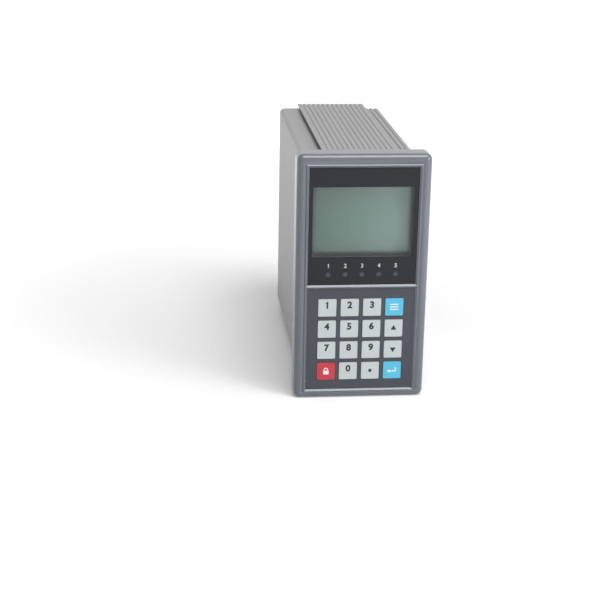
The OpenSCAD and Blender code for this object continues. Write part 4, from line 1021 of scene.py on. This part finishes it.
# %% Marks on the rocker
BEHIND = 1.0
ON_SIZE, ON_CORNER = (0.6 * MM, 3.4 * MM, 0.06 * MM), 0.12 * MM
ON_PART, OFF_PART = 0.74, 0.26
OFF_R = 1.5 * MM
rock_low, rock_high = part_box("switch_rocker")


def on_rocker(part):
    rocker = frame["nodes"]["switch_rocker"]
    x = (rock_low.x + rock_high.x) / 2
    z = rock_low.z + (rock_high.z - rock_low.z) * part
    start = rocker.matrix_world.inverted() @ Vector((x, BEHIND, z))
    hit, place, normal, _ = rocker.ray_cast(start, Vector((0, -1, 0)))
    print("rocker found:", hit, [round(v, 4) for v in place])
    return rocker.matrix_world @ place, normal.to_track_quat("Z", "Y").to_euler()


place, tilt = on_rocker(ON_PART)
bpy.ops.object.select_all(action="DESELECT")
bpy.ops.mesh.primitive_cube_add(size=1, location=place, rotation=tilt)
on_bar = bpy.context.object
on_bar.name = "mark_on"
on_bar.scale = ON_SIZE
bpy.ops.object.transform_apply(location=False, rotation=False, scale=True)
soften(on_bar, ON_CORNER, axis=2)
done(on_bar, "rocker", white_ink)
place, tilt = on_rocker(OFF_PART)
done(ring("mark_off", OFF_R, place, tilt), "rocker", white_ink)
print("rocker marks printed: 2")

# %% [markdown]
# The earth stud has the usual mark below it: a stem over three bars, each narrower than the last.

# %% Earth mark
EARTH_CORNER = 0.08 * MM
EARTH_SUNK, EARTH_PROUD = 0.05 * MM, 0.02 * MM
EARTH_TOP, EARTH_STEP, EARTH_BAR = 3.4 * MM, 0.8 * MM, 0.35 * MM
STEM_LOW, STEM_HIGH, STEM_WIDE = 3.3 * MM, 1.4 * MM, 0.34 * MM
stud_low, stud_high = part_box("earth_stud")
stud_x = (stud_low.x + stud_high.x) / 2
for row, wide in enumerate((2.8 * MM, 1.9 * MM, 1.0 * MM)):
    z = stud_low.z - EARTH_TOP - EARTH_STEP * row + EARTH_BAR / 2
    piece = bar(f"mark_earth_{row}", Vector((stud_x, panel_y, z)), wide, EARTH_BAR,
                front=EARTH_SUNK, rear=EARTH_PROUD)
    soften(piece, EARTH_CORNER)
    done(piece, "housing", dark_ink)
stem = bar("mark_earth_stem", Vector((stud_x, panel_y, stud_low.z - (STEM_LOW + STEM_HIGH) / 2)),
           STEM_WIDE, STEM_LOW - STEM_HIGH, front=EARTH_SUNK, rear=EARTH_PROUD)
soften(stem, EARTH_CORNER)
done(stem, "housing", dark_ink)
print("earth mark at", round(stud_x, 4))

# %% [markdown]
# ## Floor and light
# The instrument stands on a plain pale floor in front of a white surround. Only rays from the
# camera, from a reflection or through the lens see the surround as white. As a light it is much
# dimmer, so that colours render about as they are written.


# %% Floor that glows more, the further it is from the instrument
def seen_directly(tree):
    path = tree.nodes.new("ShaderNodeLightPath")
    either = calc(tree, "MAXIMUM", path.outputs["Is Camera Ray"], path.outputs["Is Glossy Ray"])
    return calc(tree, "MAXIMUM", either, path.outputs["Is Transmission Ray"])


GLOW_NEAR, GLOW_FAR = 0.12, 0.7
GLOW_LOW, GLOW_HIGH = 0.12, 0.8
FLOOR_SIZE = 8
floor_finish = bpy.data.materials.new("pale_floor")
floor_finish.use_nodes = True
floor_tree = floor_finish.node_tree
ground = floor_tree.nodes["Principled BSDF"]
ground.inputs["Base Color"].default_value = (0.88, 0.88, 0.88, 1)
ground.inputs["Roughness"].default_value = 0.8
ground.inputs["Emission Color"].default_value = (1, 1, 1, 1)
floor_place = floor_tree.nodes.new("ShaderNodeTexCoord")
away = floor_tree.nodes.new("ShaderNodeVectorMath")
away.operation = "LENGTH"
floor_tree.links.new(floor_place.outputs["Object"], away.inputs[0])
glow = eased(floor_tree, away.outputs["Value"], GLOW_NEAR, GLOW_FAR, GLOW_LOW, GLOW_HIGH)
glow = calc(floor_tree, "MULTIPLY", glow, seen_directly(floor_tree))
floor_tree.links.new(glow, ground.inputs["Emission Strength"])
bpy.ops.object.select_all(action="DESELECT")
bpy.ops.mesh.primitive_plane_add(size=FLOOR_SIZE, location=(0, 0, 0))
floor = bpy.context.object
floor.name = "floor"
floor.data.materials.append(floor_finish)
print("floor laid:", FLOOR_SIZE, "m")

# %% World, white where it is seen
SOFT_LIGHT = 0.34
world = bpy.data.worlds.new("studio")
bpy.context.scene.world = world
world.use_nodes = True
background = world.node_tree.nodes["Background"]
background.inputs["Color"].default_value = (1, 1, 1, 1)
level = eased(world.node_tree, seen_directly(world.node_tree), 0.0, 1.0, low=SOFT_LIGHT)
world.node_tree.links.new(level, background.inputs["Strength"])
print("world light:", SOFT_LIGHT)

# %% [markdown]
# One large soft lamp above shapes the edges. A weaker one on the right lights the bezel's right
# border, and a faint one from the left rear keeps the case's side from going flat. A picture of
# a room could light it too, but three plain lamps are easier to place by what they are for.


# %% Lamps
def lamp(name, place, aim, size, power):
    bpy.ops.object.select_all(action="DESELECT")
    bpy.ops.object.light_add(type="AREA", location=place)
    light = bpy.context.object
    light.name = name
    light.data.size = size
    light.data.energy = power
    light.rotation_euler = (Vector(aim) - Vector(place)).to_track_quat("-Z", "Y").to_euler()
    return light


lamps = [
    lamp("key_lamp", (0.15, -0.45, 1.15), aim=(0, -0.05, 0.1), size=0.6, power=8.1),
    lamp("right_fill", (0.5, -0.5, 0.3), aim=(0.02, -0.1, 0.09), size=0.35, power=2.7),
    lamp("left_rear", (-1.0, 0.45, 0.35), aim=(-0.04, 0.02, 0.08), size=0.6, power=1.4),
]
print("lamps placed:", len(lamps))

# %% [markdown]
# ## Camera
# The camera looks slightly down and a little to the right of straight ahead, with a long lens.
# A constraint could aim it, but axes worked out from its pitch, its turn and its small roll say
# exactly how it is held. Its focal length was found in pixels of a picture 600 pixels wide, and
# the sensor's width turns it into millimetres.

# %% Camera
PITCH, ROLL, YAW = 0.3186, -0.01764, 0.10305
CAMERA_X, CAMERA_AWAY, CAMERA_Z = -0.1250, 0.83125, 0.34253
SENSOR, FOCAL_PIXELS, PICTURE_PIXELS = 36, 1396.41, 600
ahead = Vector((math.sin(YAW) * math.cos(PITCH), math.cos(YAW) * math.cos(PITCH),
                -math.sin(PITCH)))
right = Vector((math.cos(YAW), -math.sin(YAW), 0))
down = ahead.cross(right)
right_rolled = right * math.cos(ROLL) + down * math.sin(ROLL)
down_rolled = down * math.cos(ROLL) - right * math.sin(ROLL)
view_turn = Matrix((right_rolled, -down_rolled, -ahead)).transposed()
bpy.ops.object.select_all(action="DESELECT")
bpy.ops.object.camera_add(location=(CAMERA_X, cad_box[0].y - CAMERA_AWAY, CAMERA_Z),
                          rotation=view_turn.to_euler())
camera = bpy.context.object
camera.data.sensor_width = SENSOR
camera.data.lens = SENSOR * FOCAL_PIXELS / PICTURE_PIXELS
bpy.context.scene.camera = camera
bpy.context.scene.view_settings.view_transform = "Standard"
print("lens:", round(camera.data.lens, 1), "mm")
